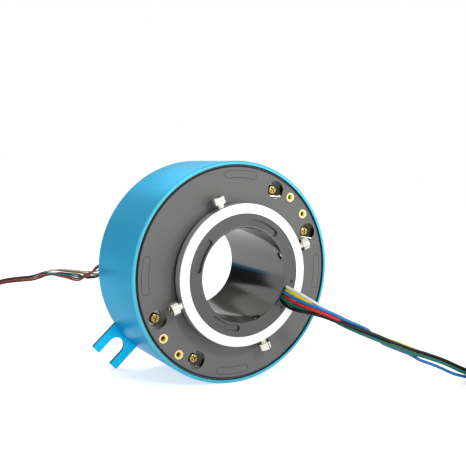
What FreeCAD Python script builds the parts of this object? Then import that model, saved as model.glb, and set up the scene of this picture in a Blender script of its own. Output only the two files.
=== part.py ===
import FreeCAD, Part
import math
import os
import Sketcher

# A through-bore slip ring, in millimetres. It carries electric circuits from a fixed machine
# frame to a turning shaft. The shaft axis is Y, the lead end of the rotor faces -Y and +Z is up.
# The origin is on the shaft axis, in the plane of the housing's front rim. The ring lies on its
# round side, and the lower corner of its anti-rotation tab stands on the same floor.
# Angles about the shaft are counted in degrees from +X towards +Z.

SIZES = [
    ("bore_radius", 25.0, "bore for the customer's shaft"),
    ("bore_chamfer", 0.3, "edges of that bore"),
    ("tube_wall", 6.5, "rotor tube from its bore to the seat of bearings and ring stack"),
    ("flange_height", 1.0, "shoulder of the rotor tube above that seat"),
    ("bearing_section", 7.0, "radial height of each bearing"),
    ("bearing_width", 7.0, "width of each bearing"),
    ("bearing_lip", 2.6, "lip of a cap in front of its bearing"),
    ("lip_clearance", 3.1, "opening of that lip above the bearing seat"),
    ("hub_wall", 3.5, "wall round each bearing pocket"),
    ("cap_web", 19.2, "end cap from its bearing pocket to its edge"),
    ("cap_thickness", 7.5, "depth of each end cap in the housing"),
    ("cap_play", 0.08, "gap between a cap and its seat"),
    ("cap_chamfer", 0.7, "outer edge of each cap's face"),
    ("cap_groove", 0.8, "width of the groove between each cap's edge and the rim"),
    ("cap_groove_depth", 1.3, "depth of that groove"),
    ("rim_width", 1.8, "rim of the housing outside each end cap"),
    ("rim_chamfer", 0.5, "outer edge of each rim"),
    ("housing_wall", 5.0, "wall between the two cap seats"),
    ("race_thickness", 1.9, "radial thickness of each bearing race"),
    ("ball_radius", 1.8, "bearing ball"),
    ("ball_play", 0.04, "gap between a ball and its grooves"),
    ("ball_count", 24, "balls in each bearing"),
    ("cage_thickness", 1.0, "radial thickness of a ball cage"),
    ("cage_width", 5.0, "width of a ball cage"),
    ("cage_play", 0.12, "gap between a ball and its cage pocket"),
    ("screw_inset", 7.7, "cap screws' circle inside the edge of the cap"),
    ("screw_half_angle", 18.75, "cap screws each side of a brush block's middle"),
    ("counterbore_radius", 4.9, "counterbore over a cap screw"),
    ("counterbore_depth", 5.0, "depth of that counterbore"),
    ("screw_radius", 1.5, "shank of a cap screw"),
    ("screw_length", 12.0, "cap screw under its head"),
    ("pan_radius", 2.8, "pan head of a cap screw"),
    ("pan_height", 2.4, "height of that head"),
    ("pan_edge", 0.6, "rounded upper edge of that head"),
    ("cross_reach", 1.7, "arms of that head's cross recess, from its middle"),
    ("cross_half_width", 0.35, "half the width of those arms"),
    ("cross_depth", 1.2, "depth of that recess"),
    ("insert_inset", 5.4, "threaded inserts' circle inside the edge of the cap"),
    ("insert_half_angle", 7.0, "inserts each side of a brush block's middle"),
    ("insert_radius", 2.5, "outside of a brass insert"),
    ("insert_bore", 1.25, "tapping bore of a brass insert"),
    ("insert_length", 6.0, "length of a brass insert"),
    ("opening_inset", 5.1, "lead openings' circle inside the edge of the cap"),
    ("opening_width", 4.0, "width of a lead opening's recess"),
    ("opening_half_angle", 8.5, "half the arc of a lead opening, to the middle of its round end"),
    ("opening_recess", 2.5, "depth of that recess"),
    ("opening_way", 2.2, "width of the way under that recess"),
    ("cover_play", 0.14, "gap round an opening's cover"),
    ("grommet_length", 3.0, "nose of the stator leads' grommet"),
    ("grommet_base_radius", 3.4, "grommet nose at the cap"),
    ("grommet_tip_radius", 2.5, "grommet nose at its tip"),
    ("rotor_front", 8.5, "rotor face in front of the housing rim"),
    ("neck_wall", 1.0, "rotor tube inside the wire guide ring"),
    ("guide_back", 0.5, "back of the wire guide ring in front of the housing rim"),
    ("guide_slot_inset", 1.9, "middle of the guide ring's slots outside the tube's neck"),
    ("guide_slot_width", 3.5, "width of those slots"),
    ("guide_slot_half_angle", 15.3, "half the arc of a spare slot"),
    ("outlet_half_angle", 6.6, "half the arc of the slot that the rotor leads use"),
    ("channel_depth", 11.5, "depth of the lead channels in the rotor tube"),
    ("keyway_depth", 4.4, "depth of the keyway that takes the leads under the ring stack"),
    ("keyway_half_angle", 8.0, "half the arc of that keyway"),
    ("guide_screw_inset", 2.6, "guide ring's small screws inside the edge of the ring"),
    ("guide_screw_half_angle", 14.6, "those screws each side of the lead outlet"),
    ("guide_screw_radius", 0.9, "radius of those screws"),
    ("guide_screw_length", 10.5, "length of those screws"),
    ("guide_screw_socket", 0.45, "half the width across flats of their sockets"),
    ("collar_proud", 0.3, "front of the shaft collar before the rotor face"),
    ("collar_back", 3.2, "back of the shaft collar in front of the housing rim"),
    ("collar_wall", 5.2, "radial thickness of the shaft collar"),
    ("collar_chamfer", 0.35, "outer edges of the shaft collar"),
    ("shoulder_step", 0.7, "shoulder behind the collar inside the collar's outside"),
    ("clamp_place", 5.7, "clamp screws in front of the housing rim"),
    ("clamp_radius", 2.0, "shank of a clamp screw"),
    ("clamp_tip_gap", 0.9, "tip of a clamp screw outside the bore"),
    ("clamp_length", 14.0, "clamp screw under its head"),
    ("clamp_head_radius", 3.5, "head of a clamp screw"),
    ("clamp_head_height", 4.0, "height of that head"),
    ("clamp_socket", 1.5, "half the width across flats of its socket"),
    ("clamp_socket_depth", 2.0, "depth of that socket"),
    ("stack_spacer", 1.1, "spacer between a bearing and the ring stack"),
    ("ring_count", 6, "contact rings, one for each circuit"),
    ("ring_width", 2.4, "width of a contact ring"),
    ("ring_thickness", 3.4, "radial thickness of a contact ring"),
    ("groove_depth", 0.8, "V-groove of a contact ring"),
    ("groove_half_width", 0.8, "half the width of that groove"),
    ("fence_width", 1.8, "insulating fence between two contact rings"),
    ("fence_step", 0.5, "outside of the fences below the bearings' outside"),
    ("fence_height", 1.4, "fences above the contact rings"),
    ("brush_space", 5.5, "inner face of a brush block above the fences"),
    ("block_play", 0.3, "gap between a brush block and the housing wall"),
    ("block_half_angle", 25.0, "half the arc of a brush block"),
    ("brush_radius", 0.3, "radius of a brush wire"),
    ("brush_gap", 0.08, "brush wire to the groove that it runs in"),
    ("brush_overrun", 2.5, "brush wire beyond the place where it touches"),
    ("brush_root", 1.5, "brush wire held in its block"),
    ("clip_thickness", 1.2, "retaining ring behind the rear bearing"),
    ("clip_depth", 1.0, "depth of its groove"),
    ("clip_height", 2.5, "that ring above the bearing seat"),
    ("clip_half_angle", 166.0, "half the arc of that ring"),
    ("clip_hole", 0.6, "radius of its two plier holes"),
    ("tab_width", 19.6, "width of the anti-rotation tab"),
    ("tab_shift", 0.75, "tab towards its upper side, from the line between its screws"),
    ("tab_thickness", 2.5, "plate of that tab"),
    ("tab_margin", 5.8, "inner end of the tab beyond its screws"),
    ("tab_root_fillet", 3.0, "corners of that inner end"),
    ("tab_corner", 0.6, "chamfered corners of the tab's tip"),
    ("fork_width", 9.6, "open slot of the tab"),
    ("fork_clearance", 2.2, "closed end of that slot outside the housing"),
    ("tab_hole_radius", 1.6, "clearance hole of a tab screw"),
    ("tab_screw_length", 8.0, "tab screw under its head"),
    ("tab_screw_head_radius", 2.75, "head of a tab screw"),
    ("tab_screw_head_height", 2.0, "height of that head"),
    ("tab_screw_socket", 1.0, "half the width across flats of its socket"),
    ("rotor_bundle", 5.4, "diameter of the bundle of rotor leads"),
    ("stator_bundle", 3.2, "diameter of the bundle of stator leads"),
    ("rotor_coil_radius", 27.0, "middle of the turns of the rotor leads' coil"),
    ("stator_coil_radius", 17.0, "middle of the turns of the stator leads' coil"),
    ("rotor_coil_turns", 2, "turns of that coil, one on the other"),
    ("stator_coil_turns", 3, "turns of that coil, one on the other"),
    ("coil_approach", 11.0, "straight run of lead on the floor before its coil"),
]

# What follows from those sizes, from the bore outwards and from the front rim to the back.
PLACES = [
    ("seat_radius", "bore_radius + tube_wall", "seat of the bearings and the ring stack"),
    ("flange_radius", "seat_radius + flange_height", "rotor's shoulder and guide ring"),
    ("pocket_radius", "seat_radius + bearing_section", "bearing pocket in each cap"),
    ("cap_bore_radius", "seat_radius + lip_clearance", "opening of each cap round the rotor"),
    ("hub_radius", "pocket_radius + hub_wall", "outside of each cap's hub"),
    ("cap_seat_radius", "pocket_radius + cap_web", "seat of each cap in the housing"),
    ("housing_radius", "cap_seat_radius + rim_width", "outside of the housing"),
    ("wall_radius", "housing_radius - housing_wall", "inside of the housing"),
    ("screw_circle", "cap_seat_radius - screw_inset", "circle of the cap screws"),
    ("insert_circle", "cap_seat_radius - insert_inset", "circle of the threaded inserts"),
    ("opening_circle", "cap_seat_radius - opening_inset", "circle of the lead openings"),
    ("ball_circle", "(seat_radius + pocket_radius) / 2", "circle of the ball centres"),
    ("ball_middle", "bearing_lip + bearing_width / 2", "ball centres of the front bearing"),
    ("bearing_back", "bearing_lip + bearing_width", "back of the front bearing"),
    ("stack_front", "bearing_back + stack_spacer", "front fence of the ring stack"),
    ("stack_step", "fence_width + ring_width", "one contact ring to the next"),
    (
        "stack_back",
        "stack_front + ring_count * stack_step + fence_width",
        "back of the ring stack's last fence",
    ),
    ("housing_length", "stack_back + stack_front", "front rim to back rim"),
    ("fence_radius", "pocket_radius - fence_step", "outside of the insulating fences"),
    ("ring_radius", "fence_radius - fence_height", "outside of a contact ring"),
    ("sleeve_radius", "ring_radius - ring_thickness", "sleeve under the contact rings"),
    ("block_inner_radius", "fence_radius + brush_space", "inner face of a brush block"),
    ("neck_radius", "bore_radius + neck_wall", "rotor tube inside the guide ring"),
    ("guide_slot_circle", "neck_radius + guide_slot_inset", "middle of the guide slots"),
    ("guide_screw_circle", "flange_radius - guide_screw_inset", "guide ring's small screws"),
    ("collar_front", "rotor_front + collar_proud", "front of the shaft collar"),
    ("collar_radius", "flange_radius + collar_wall", "outside of the shaft collar"),
    ("shoulder_radius", "collar_radius - shoulder_step", "guide ring's shoulder"),
    ("clip_radius", "seat_radius + clip_height", "outside of the retaining ring"),
    ("tab_root", "insert_circle - tab_margin", "inner end of the tab"),
    ("fork_bottom", "housing_radius + fork_clearance", "closed end of the tab's slot"),
]

doc = FreeCAD.newDocument("slip_ring")
V = FreeCAD.Vector

sheet = doc.addObject("Spreadsheet::Sheet", "Sizes")
rows = [(name, str(value), meaning) for name, value, meaning in SIZES]
rows += [(name, "=" + formula, meaning) for name, formula, meaning in PLACES]
for row, (name, content, meaning) in enumerate(rows, start=1):
    sheet.set(f"A{row}", meaning)
    sheet.setAlias(f"B{row}", name)
    sheet.set(f"B{row}", content)
doc.recompute()


class Term:
    """A length or angle that holds its value and the expression over the sheet that gives it."""

    def __init__(self, value, words):
        self.value = value
        self.words = words

    def joined(self, sign, other, value):
        return Term(value, f"({self.words} {sign} {other.words})")

    def __add__(self, other):
        other = as_term(other)
        return self.joined("+", other, self.value + other.value)

    def __radd__(self, other):
        return as_term(other) + self

    def __sub__(self, other):
        other = as_term(other)
        return self.joined("-", other, self.value - other.value)

    def __rsub__(self, other):
        return as_term(other) - self

    def __mul__(self, other):
        other = as_term(other)
        return self.joined("*", other, self.value * other.value)

    def __rmul__(self, other):
        return as_term(other) * self

    def __truediv__(self, other):
        other = as_term(other)
        return self.joined("/", other, self.value / other.value)


def as_term(number):
    return number if isinstance(number, Term) else Term(float(number), f"({float(number)})")


def across(radius, angle):
    """The X of a point at this radius and angle about the shaft."""
    radius, angle = as_term(radius), as_term(angle)
    value = radius.value * math.cos(math.radians(angle.value))
    return Term(value, f"({radius.words} * cos({angle.words}))")


def above(radius, angle):
    """The Z of a point at this radius and angle about the shaft."""
    radius, angle = as_term(radius), as_term(angle)
    value = radius.value * math.sin(math.radians(angle.value))
    return Term(value, f"({radius.words} * sin({angle.words}))")


def term_of(name):
    return Term(float(sheet.get(name)), f"Sizes.{name}")


class Sizes:
    """Each named size of the sheet as a term, such as size.bore_radius."""

    def __getattr__(self, name):
        return term_of(name)


size = Sizes()

# The turned rotor stands with its clamp screws at these angles, and with its lead outlet low on
# the right-hand side. The brush blocks, inserts and tab lie on one line through the shaft.
ROTOR_ANGLE = 22.5
QUARTERS = (0.0, 90.0, 180.0, 270.0)
SPARE_SLOTS = (45.0, 135.0, 225.0)
OUTLET = 315.0
BLOCKS = (45.0, 225.0)
TAB_ANGLE = 225.0
LEAD_OPENING = 180.0

kept = []


def keep(thing, label):
    """Marks an object of the document as one of the part's pieces, and names its file."""
    thing.Label = label
    kept.append(thing)
    return thing


def about_shaft(angle):
    """The rotation that carries +X to this angle about the shaft."""
    return FreeCAD.Rotation(V(0, -1, 0), angle)


def origin_feature(body, role):
    return next(f for f in body.Origin.OriginFeatures if f.Role == role)


def new_sketch(body, name, plane):
    sketch = body.newObject("Sketcher::SketchObject", name)
    sketch.AttachmentSupport = [(origin_feature(body, plane), "")]
    sketch.MapMode = "FlatFace"
    return sketch


def hold(sketch, kind, place, term):
    """Adds a dimension to a sketch and binds it to the size sheet."""
    number = sketch.addConstraint(Sketcher.Constraint(kind, *place, term.value))
    sketch.setExpression(f"Constraints[{number}]", term.words)


def outline(sketch, points):
    """A closed outline of straight lines through points, each a pair of terms."""
    points = [(as_term(a), as_term(b)) for a, b in points]
    corners = [V(a.value, b.value, 0) for a, b in points]
    count = len(points)
    for i in range(count):
        sketch.addGeometry(Part.LineSegment(corners[i], corners[(i + 1) % count]))
    for i in range(count):
        sketch.addConstraint(Sketcher.Constraint("Coincident", i, 2, (i + 1) % count, 1))
    for i, (a, b) in enumerate(points):
        hold(sketch, "DistanceX", (-1, 1, i, 1), a)
        hold(sketch, "DistanceY", (-1, 1, i, 1), b)


def circle(sketch, a, b, radius):
    """A circle whose centre and radius are terms."""
    a, b, radius = as_term(a), as_term(b), as_term(radius)
    number = sketch.addGeometry(Part.Circle(V(a.value, b.value, 0), V(0, 0, 1), radius.value))
    hold(sketch, "DistanceX", (-1, 1, number, 3), a)
    hold(sketch, "DistanceY", (-1, 1, number, 3), b)
    hold(sketch, "Radius", (number,), radius)


def turned(body, name, points, kind="Revolution", axis="V_Axis", half_angle=None, facing=0.0):
    """Turns a profile of (radius, place along the axis) points, or cuts it away with Groove."""
    profile = new_sketch(body, name + "_profile", "XY_Plane")
    profile.AttachmentOffset = FreeCAD.Placement(V(), about_shaft(facing))
    outline(profile, points)
    feature = body.newObject("PartDesign::" + kind, name)
    feature.Profile = profile
    feature.ReferenceAxis = (profile, [axis])
    feature.Angle = 360
    if half_angle is not None:
        feature.Midplane = True
        feature.setExpression("Angle", f"2 * {half_angle.words}")
    body.Tip = feature
    return feature


def ball_groove(body, name, radius):
    """Cuts the round groove that a bearing's balls run in, at each place in the body's length."""
    profile = new_sketch(body, name + "_profile", "XY_Plane")
    circle(profile, size.ball_circle, size.ball_middle, radius)
    feature = body.newObject("PartDesign::Groove", name)
    feature.Profile = profile
    feature.ReferenceAxis = (profile, ["V_Axis"])
    feature.Angle = 360
    body.Tip = feature
    return feature


def lifted(sketch, place):
    """Moves a sketch on the XZ plane to this place along the shaft."""
    place = as_term(place)
    sketch.AttachmentOffset = FreeCAD.Placement(V(0, 0, -place.value), FreeCAD.Rotation())
    sketch.setExpression("AttachmentOffset.Base.z", f"-{place.words}")


def pocketed(body, name, sketch, depth, inward):
    """Cuts a sketch on the XZ plane to this depth, towards +Y where inward is 1."""
    feature = body.newObject("PartDesign::Pocket", name)
    feature.Profile = sketch
    feature.Length = depth.value
    feature.setExpression("Length", depth.words)
    feature.Reversed = inward < 0
    body.Tip = feature
    return feature


def drilled(body, name, spots, radius, start, depth, inward=1):
    """Drills round holes along the shaft at spots, each a (circle radius, angle) pair."""
    sketch = new_sketch(body, name + "_sketch", "XZ_Plane")
    lifted(sketch, start)
    for ring, angle in spots:
        circle(sketch, across(ring, angle), above(ring, angle), radius)
    return pocketed(body, name, sketch, as_term(depth), inward)


def arc_slots(body, name, centres, ring, width, half_angle, start, depth, inward=1):
    """Mills slots that bend round the shaft and have round ends."""
    near, far = ring - width / 2, ring + width / 2
    end = start + inward * depth
    for number, centre in enumerate(centres, start=1):
        section = [(near, start), (far, start), (far, end), (near, end)]
        turned(body, f"{name}_{number}", section, "Groove", half_angle=half_angle, facing=centre)
    ends = [(ring, as_term(c) + side * half_angle) for c in centres for side in (-1, 1)]
    return drilled(body, name + "_ends", ends, width / 2, start, depth, inward)


def radial_holes(body, name, place, radius, reach):
    """Drills a hole from the axis along +X at this place, and repeats it at four quarters."""
    sketch = new_sketch(body, name + "_sketch", "YZ_Plane")
    circle(sketch, place, 0, radius)
    hole = body.newObject("PartDesign::Pocket", name)
    hole.Profile = sketch
    hole.Length = reach.value
    hole.setExpression("Length", reach.words)
    hole.Reversed = True
    return repeated(body, name + "_repeated", hole, 4)


def repeated(body, name, feature, count):
    """Repeats a feature evenly round the shaft."""
    pattern = body.newObject("PartDesign::PolarPattern", name)
    pattern.Originals = [feature]
    pattern.Axis = (origin_feature(body, "Y_Axis"), [""])
    pattern.Angle = 360
    pattern.Occurrences = count
    body.Tip = pattern
    return pattern


def new_body(label):
    return doc.addObject("PartDesign::Body", label)


def pairs(half_angle):
    """Two angles each side of the middle of each brush block."""
    return [as_term(middle) + side * half_angle for middle in BLOCKS for side in (-1, 1)]


def socket_screw(label, head_radius, head_height, shank_radius, length, socket, depth):
    """A socket screw along X: its head's underside is at the origin and its tip points to -X."""
    body = new_body(label)
    edge = head_radius * 0.1
    tip = shank_radius * 0.25
    turned(
        body,
        label + "_turned",
        [
            (-1 * length, 0),
            (-1 * length, shank_radius - tip),
            (tip - length, shank_radius),
            (0, shank_radius),
            (0, head_radius),
            (head_height - edge, head_radius),
            (head_height, head_radius - edge),
            (head_height, 0),
        ],
        axis="H_Axis",
    )
    hexagon(body, label + "_socket", head_height, socket, depth)
    return body


def pan_screw(label):
    """A cap screw along X, with a pan head whose upper edge is rounded and a cross recess."""
    body = new_body(label)
    length, shank = size.screw_length, size.screw_radius
    head, top = size.pan_radius, size.pan_height
    tip = shank * 0.25
    turned(
        body,
        label + "_turned",
        [
            (-1 * length, 0),
            (-1 * length, shank - tip),
            (tip - length, shank),
            (0, shank),
            (0, head),
            (top - size.pan_edge, head),
            (top, head - size.pan_edge),
            (top, 0),
        ],
        axis="H_Axis",
    )
    arm, half = size.cross_reach, size.cross_half_width
    quarter = [(arm, -1 * half), (arm, half), (half, half)]
    cross = []
    for _ in range(4):
        cross += quarter
        quarter = [(-1 * b, a) for a, b in quarter]
    sunk(body, label + "_cross", top, cross, size.cross_depth)
    return body


def hexagon(body, name, top, half_width, depth):
    """Sinks a hexagon socket into a face at right angles to X."""
    corner = half_width * (2 / math.sqrt(3))
    corners = [(across(corner, 60 * k), above(corner, 60 * k)) for k in range(6)]
    sunk(body, name, top, corners, depth)


def sunk(body, name, top, points, depth):
    """Cuts a recess with this outline into a face at right angles to X."""
    sketch = new_sketch(body, name + "_sketch", "YZ_Plane")
    sketch.AttachmentOffset = FreeCAD.Placement(V(0, 0, top.value), FreeCAD.Rotation())
    sketch.setExpression("AttachmentOffset.Base.z", top.words)
    outline(sketch, points)
    feature = body.newObject("PartDesign::Pocket", name)
    feature.Profile = sketch
    feature.Length = depth.value
    feature.setExpression("Length", depth.words)
    body.Tip = feature


def grouped(label, shapes):
    """One piece of the part that is a group of separate like solids."""
    feature = doc.addObject("Part::Feature", label)
    feature.Shape = Part.makeCompound(shapes) if len(shapes) > 1 else shapes[0]
    return keep(feature, label)


def placed(shape, point, rotation):
    """A copy of a shape, turned about the origin and then moved."""
    copy = shape.copy()
    copy.Placement = FreeCAD.Placement(point, rotation)
    return copy


def on_circle(radius, angle, y):
    turn = math.radians(as_term(angle).value)
    radius = as_term(radius).value
    return V(radius * math.cos(turn), as_term(y).value, radius * math.sin(turn))


# The stator: housing and end caps.


def housing():
    body = new_body("housing")
    back = size.housing_length
    turned(
        body,
        "housing_turned",
        [
            (size.cap_seat_radius, 0),
            (size.housing_radius - size.rim_chamfer, 0),
            (size.housing_radius, size.rim_chamfer),
            (size.housing_radius, back - size.rim_chamfer),
            (size.housing_radius - size.rim_chamfer, back),
            (size.cap_seat_radius, back),
            (size.cap_seat_radius, back - size.cap_thickness),
            (size.wall_radius, back - size.cap_thickness),
            (size.wall_radius, size.cap_thickness),
            (size.cap_seat_radius, size.cap_thickness),
        ],
    )
    keep(body, "housing")


def end_cap(label, face, inward):
    """A cap whose outer face is at this place and whose hub points inward along the shaft."""
    body = new_body(label)
    radius = size.cap_seat_radius - size.cap_play
    edge = radius - size.cap_groove

    def deep(distance):
        return face + inward * as_term(distance)

    turned(
        body,
        label + "_turned",
        [
            (size.cap_bore_radius, deep(0)),
            (edge - size.cap_chamfer, deep(0)),
            (edge, deep(size.cap_chamfer)),
            (edge, deep(size.cap_groove_depth)),
            (radius, deep(size.cap_groove_depth)),
            (radius, deep(size.cap_thickness)),
            (size.hub_radius, deep(size.cap_thickness)),
            (size.hub_radius, deep(size.bearing_back)),
            (size.pocket_radius, deep(size.bearing_back)),
            (size.pocket_radius, deep(size.bearing_lip)),
            (size.cap_bore_radius, deep(size.bearing_lip)),
        ],
    )
    screws = [(size.screw_circle, angle) for angle in pairs(size.screw_half_angle)]
    inserts = [(size.insert_circle, angle) for angle in pairs(size.insert_half_angle)]
    deepest = size.cap_thickness
    drilled(
        body,
        label + "_counterbores",
        screws,
        size.counterbore_radius,
        face,
        size.counterbore_depth,
        inward,
    )
    drilled(body, label + "_screw_holes", screws, size.screw_radius, face, deepest, inward)
    drilled(
        body,
        label + "_insert_seats",
        inserts,
        size.insert_radius,
        face,
        size.insert_length,
        inward,
    )
    openings = (size.opening_circle, size.opening_width, size.opening_half_angle, face)
    arc_slots(body, label + "_recess", QUARTERS, *openings, size.opening_recess, inward)
    ways = (size.opening_circle, size.opening_way, size.opening_half_angle, face)
    arc_slots(body, label + "_way", QUARTERS, *ways, deepest, inward)
    keep(body, label)


def arc_bar(centre, width, near, far):
    """A bar that bends round the shaft with round ends, between two places along it."""
    ring = size.opening_circle.value
    half = size.opening_half_angle.value
    low, high = ring - width / 2, ring + width / 2
    round_end = math.degrees(width / 2 / ring)
    y = min(near, far)

    def edge(*stops):
        return Part.Arc(*[on_circle(r, centre + a, y) for r, a in stops]).toShape()

    wire = Part.Wire(
        [
            edge((high, -half), (high, 0), (high, half)),
            edge((high, half), (ring, half + round_end), (low, half)),
            edge((low, half), (low, 0), (low, -half)),
            edge((low, -half), (ring, -half - round_end), (high, -half)),
        ]
    )
    return Part.Face(wire).extrude(V(0, abs(far - near), 0))


def opening_covers(label, face, inward, centres):
    width = (size.opening_width - 2 * size.cover_play).value
    depth = size.opening_recess.value
    start = as_term(face).value
    grouped(label, [arc_bar(c, width, start, start + inward * depth) for c in centres])


def lead_grommet():
    """A rubber bush in the rear cap's left-hand opening, with a tapered nose."""
    back = size.housing_length.value
    width = (size.opening_width - 2 * size.cover_play).value
    foot = arc_bar(LEAD_OPENING, width, back - size.opening_recess.value, back)
    centre = on_circle(size.opening_circle, LEAD_OPENING, back)
    nose = Part.makeCone(
        size.grommet_base_radius.value,
        size.grommet_tip_radius.value,
        size.grommet_length.value,
        centre,
        V(0, 1, 0),
    )
    hole_start = centre - V(0, size.opening_recess.value, 0)
    hole_length = size.opening_recess.value + size.grommet_length.value
    hole = Part.makeCylinder(size.stator_bundle.value / 2, hole_length, hole_start, V(0, 1, 0))
    grouped("lead_grommet", [foot.fuse(nose).cut(hole)])


def cap_screws():
    """Eight pan-head screws that hold the caps to the brush blocks."""
    form = pan_screw("cap_screw_form")
    doc.recompute()
    ends = (
        ("front_cap_screws", size.counterbore_depth, V(0, -1, 0)),
        ("rear_cap_screws", size.housing_length - size.counterbore_depth, V(0, 1, 0)),
    )
    for label, seat, outward in ends:
        turn = FreeCAD.Rotation(V(1, 0, 0), outward)
        spots = [on_circle(size.screw_circle, a, seat) for a in pairs(size.screw_half_angle)]
        grouped(label, [placed(form.Shape, spot, turn) for spot in spots])


def threaded_inserts():
    """Four brass inserts in each cap, for the customer's bracket or for the tab."""
    length = size.insert_length.value
    ends = (("front_inserts", 0.0), ("rear_inserts", size.housing_length.value - length))
    for label, start in ends:
        sleeves = []
        for angle in pairs(size.insert_half_angle):
            foot = on_circle(size.insert_circle, angle, start)
            outside = Part.makeCylinder(size.insert_radius.value, length, foot, V(0, 1, 0))
            bore = Part.makeCylinder(size.insert_bore.value, length, foot, V(0, 1, 0))
            sleeves.append(outside.cut(bore))
        grouped(label, sleeves)


def anti_rotation_tab():
    """A flat forked plate on the rear cap that keeps the stator from turning."""
    body = new_body("anti_rotation_tab")
    back = size.housing_length
    upper = -1 * (size.tab_width / 2 + size.tab_shift)
    lower = size.tab_width / 2 - size.tab_shift
    # On a line at 45 degrees the lower corner reaches as low as the housing's round side.
    reach = size.housing_radius * math.sqrt(2) - lower + size.tab_corner
    slot_middle = size.fork_bottom + size.fork_width / 2
    beyond = 1.0
    plate = new_sketch(body, "tab_outline", "XZ_Plane")
    lifted(plate, back)
    outline(
        plate,
        [
            (size.tab_root, upper),
            (reach - size.tab_corner, upper),
            (reach, upper + size.tab_corner),
            (reach, lower - size.tab_corner),
            (reach - size.tab_corner, lower),
            (size.tab_root, lower),
        ],
    )
    pad = body.newObject("PartDesign::Pad", "tab_plate")
    pad.Profile = plate
    pad.setExpression("Length", size.tab_thickness.words)
    pad.Reversed = True
    doc.recompute()
    corners = [
        f"Edge{number}"
        for number, edge in enumerate(pad.Shape.Edges, start=1)
        if abs(edge.Length - size.tab_thickness.value) < 1e-6
        and abs(edge.CenterOfMass.x - size.tab_root.value) < 1e-6
    ]
    fillet = body.newObject("PartDesign::Fillet", "tab_root_corners")
    fillet.Base = (pad, corners)
    fillet.setExpression("Radius", size.tab_root_fillet.words)
    body.Tip = fillet
    fork = new_sketch(body, "fork_sketch", "XZ_Plane")
    lifted(fork, back)
    half = size.fork_width / 2
    outline(
        fork,
        [
            (slot_middle, -1 * half - size.tab_shift),
            (reach + beyond, -1 * half - size.tab_shift),
            (reach + beyond, half - size.tab_shift),
            (slot_middle, half - size.tab_shift),
        ],
    )
    pocketed(body, "fork_slot", fork, size.tab_thickness, 1)
    fork_end = new_sketch(body, "fork_end_sketch", "XZ_Plane")
    lifted(fork_end, back)
    circle(fork_end, slot_middle, -1 * size.tab_shift, half)
    pocketed(body, "fork_end", fork_end, size.tab_thickness, 1)
    holes = [(size.insert_circle, side * size.insert_half_angle) for side in (-1, 1)]
    drilled(body, "tab_holes", holes, size.tab_hole_radius, back, size.tab_thickness)
    body.Placement = FreeCAD.Placement(V(), about_shaft(TAB_ANGLE))
    keep(body, "anti_rotation_tab")


def tab_screws():
    form = socket_screw(
        "tab_screw_form",
        size.tab_screw_head_radius,
        size.tab_screw_head_height,
        size.insert_bore,
        size.tab_screw_length,
        size.tab_screw_socket,
        size.tab_screw_head_height / 2,
    )
    doc.recompute()
    seat = size.housing_length + size.tab_thickness
    turn = FreeCAD.Rotation(V(1, 0, 0), V(0, 1, 0))
    angles = [TAB_ANGLE + side * size.insert_half_angle for side in (-1, 1)]
    spots = [on_circle(size.insert_circle, angle, seat) for angle in angles]
    grouped("tab_screws", [placed(form.Shape, spot, turn) for spot in spots])


# The two bearings. Each is built in its place at the front, and the rear one is moved back.


def bearing(end, shift):
    """Races, balls and cage of one ball bearing; shift carries them from the front to this end."""
    seats = (
        ("inner_race", size.seat_radius, size.seat_radius + size.race_thickness),
        ("outer_race", size.pocket_radius - size.race_thickness, size.pocket_radius),
    )
    move = FreeCAD.Placement(V(0, shift.value, 0), FreeCAD.Rotation())
    groove = size.ball_radius + size.ball_play
    for name, inner, outer in seats:
        label = f"{end}_{name}"
        body = new_body(label)
        section = [
            (inner, size.bearing_lip),
            (outer, size.bearing_lip),
            (outer, size.bearing_back),
            (inner, size.bearing_back),
        ]
        turned(body, label + "_turned", section)
        ball_groove(body, label + "_groove", groove)
        body.Placement = move
        keep(body, label)
    cage = new_body(f"{end}_ball_cage")
    near = size.ball_circle - size.cage_thickness / 2
    far = size.ball_circle + size.cage_thickness / 2
    front, back = size.ball_middle - size.cage_width / 2, size.ball_middle + size.cage_width / 2
    turned(cage, f"{end}_cage_turned", [(near, front), (far, front), (far, back), (near, back)])
    pocket = new_sketch(cage, f"{end}_cage_sketch", "YZ_Plane")
    circle(pocket, size.ball_middle, 0, size.ball_radius + size.cage_play)
    hole = cage.newObject("PartDesign::Pocket", f"{end}_cage_pocket")
    hole.Profile = pocket
    hole.setExpression("Length", (far + 1).words)
    hole.Reversed = True
    repeated(cage, f"{end}_cage_pockets", hole, int(size.ball_count.value))
    cage.Placement = move
    keep(cage, f"{end}_ball_cage")
    count = int(size.ball_count.value)
    middle = size.ball_middle + shift
    spots = [on_circle(size.ball_circle, 360 * k / count, middle) for k in range(count)]
    balls = [Part.makeSphere(size.ball_radius.value, spot) for spot in spots]
    grouped(f"{end}_bearing_balls", balls)


# The rotor.


def face_rotor(body):
    """Turns a rotor piece to the angle that the rotor stands at."""
    body.Placement = FreeCAD.Placement(V(), about_shaft(ROTOR_ANGLE))


def guide_screw_spots():
    return [
        (size.guide_screw_circle, OUTLET + side * size.guide_screw_half_angle) for side in (-1, 1)
    ]


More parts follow.
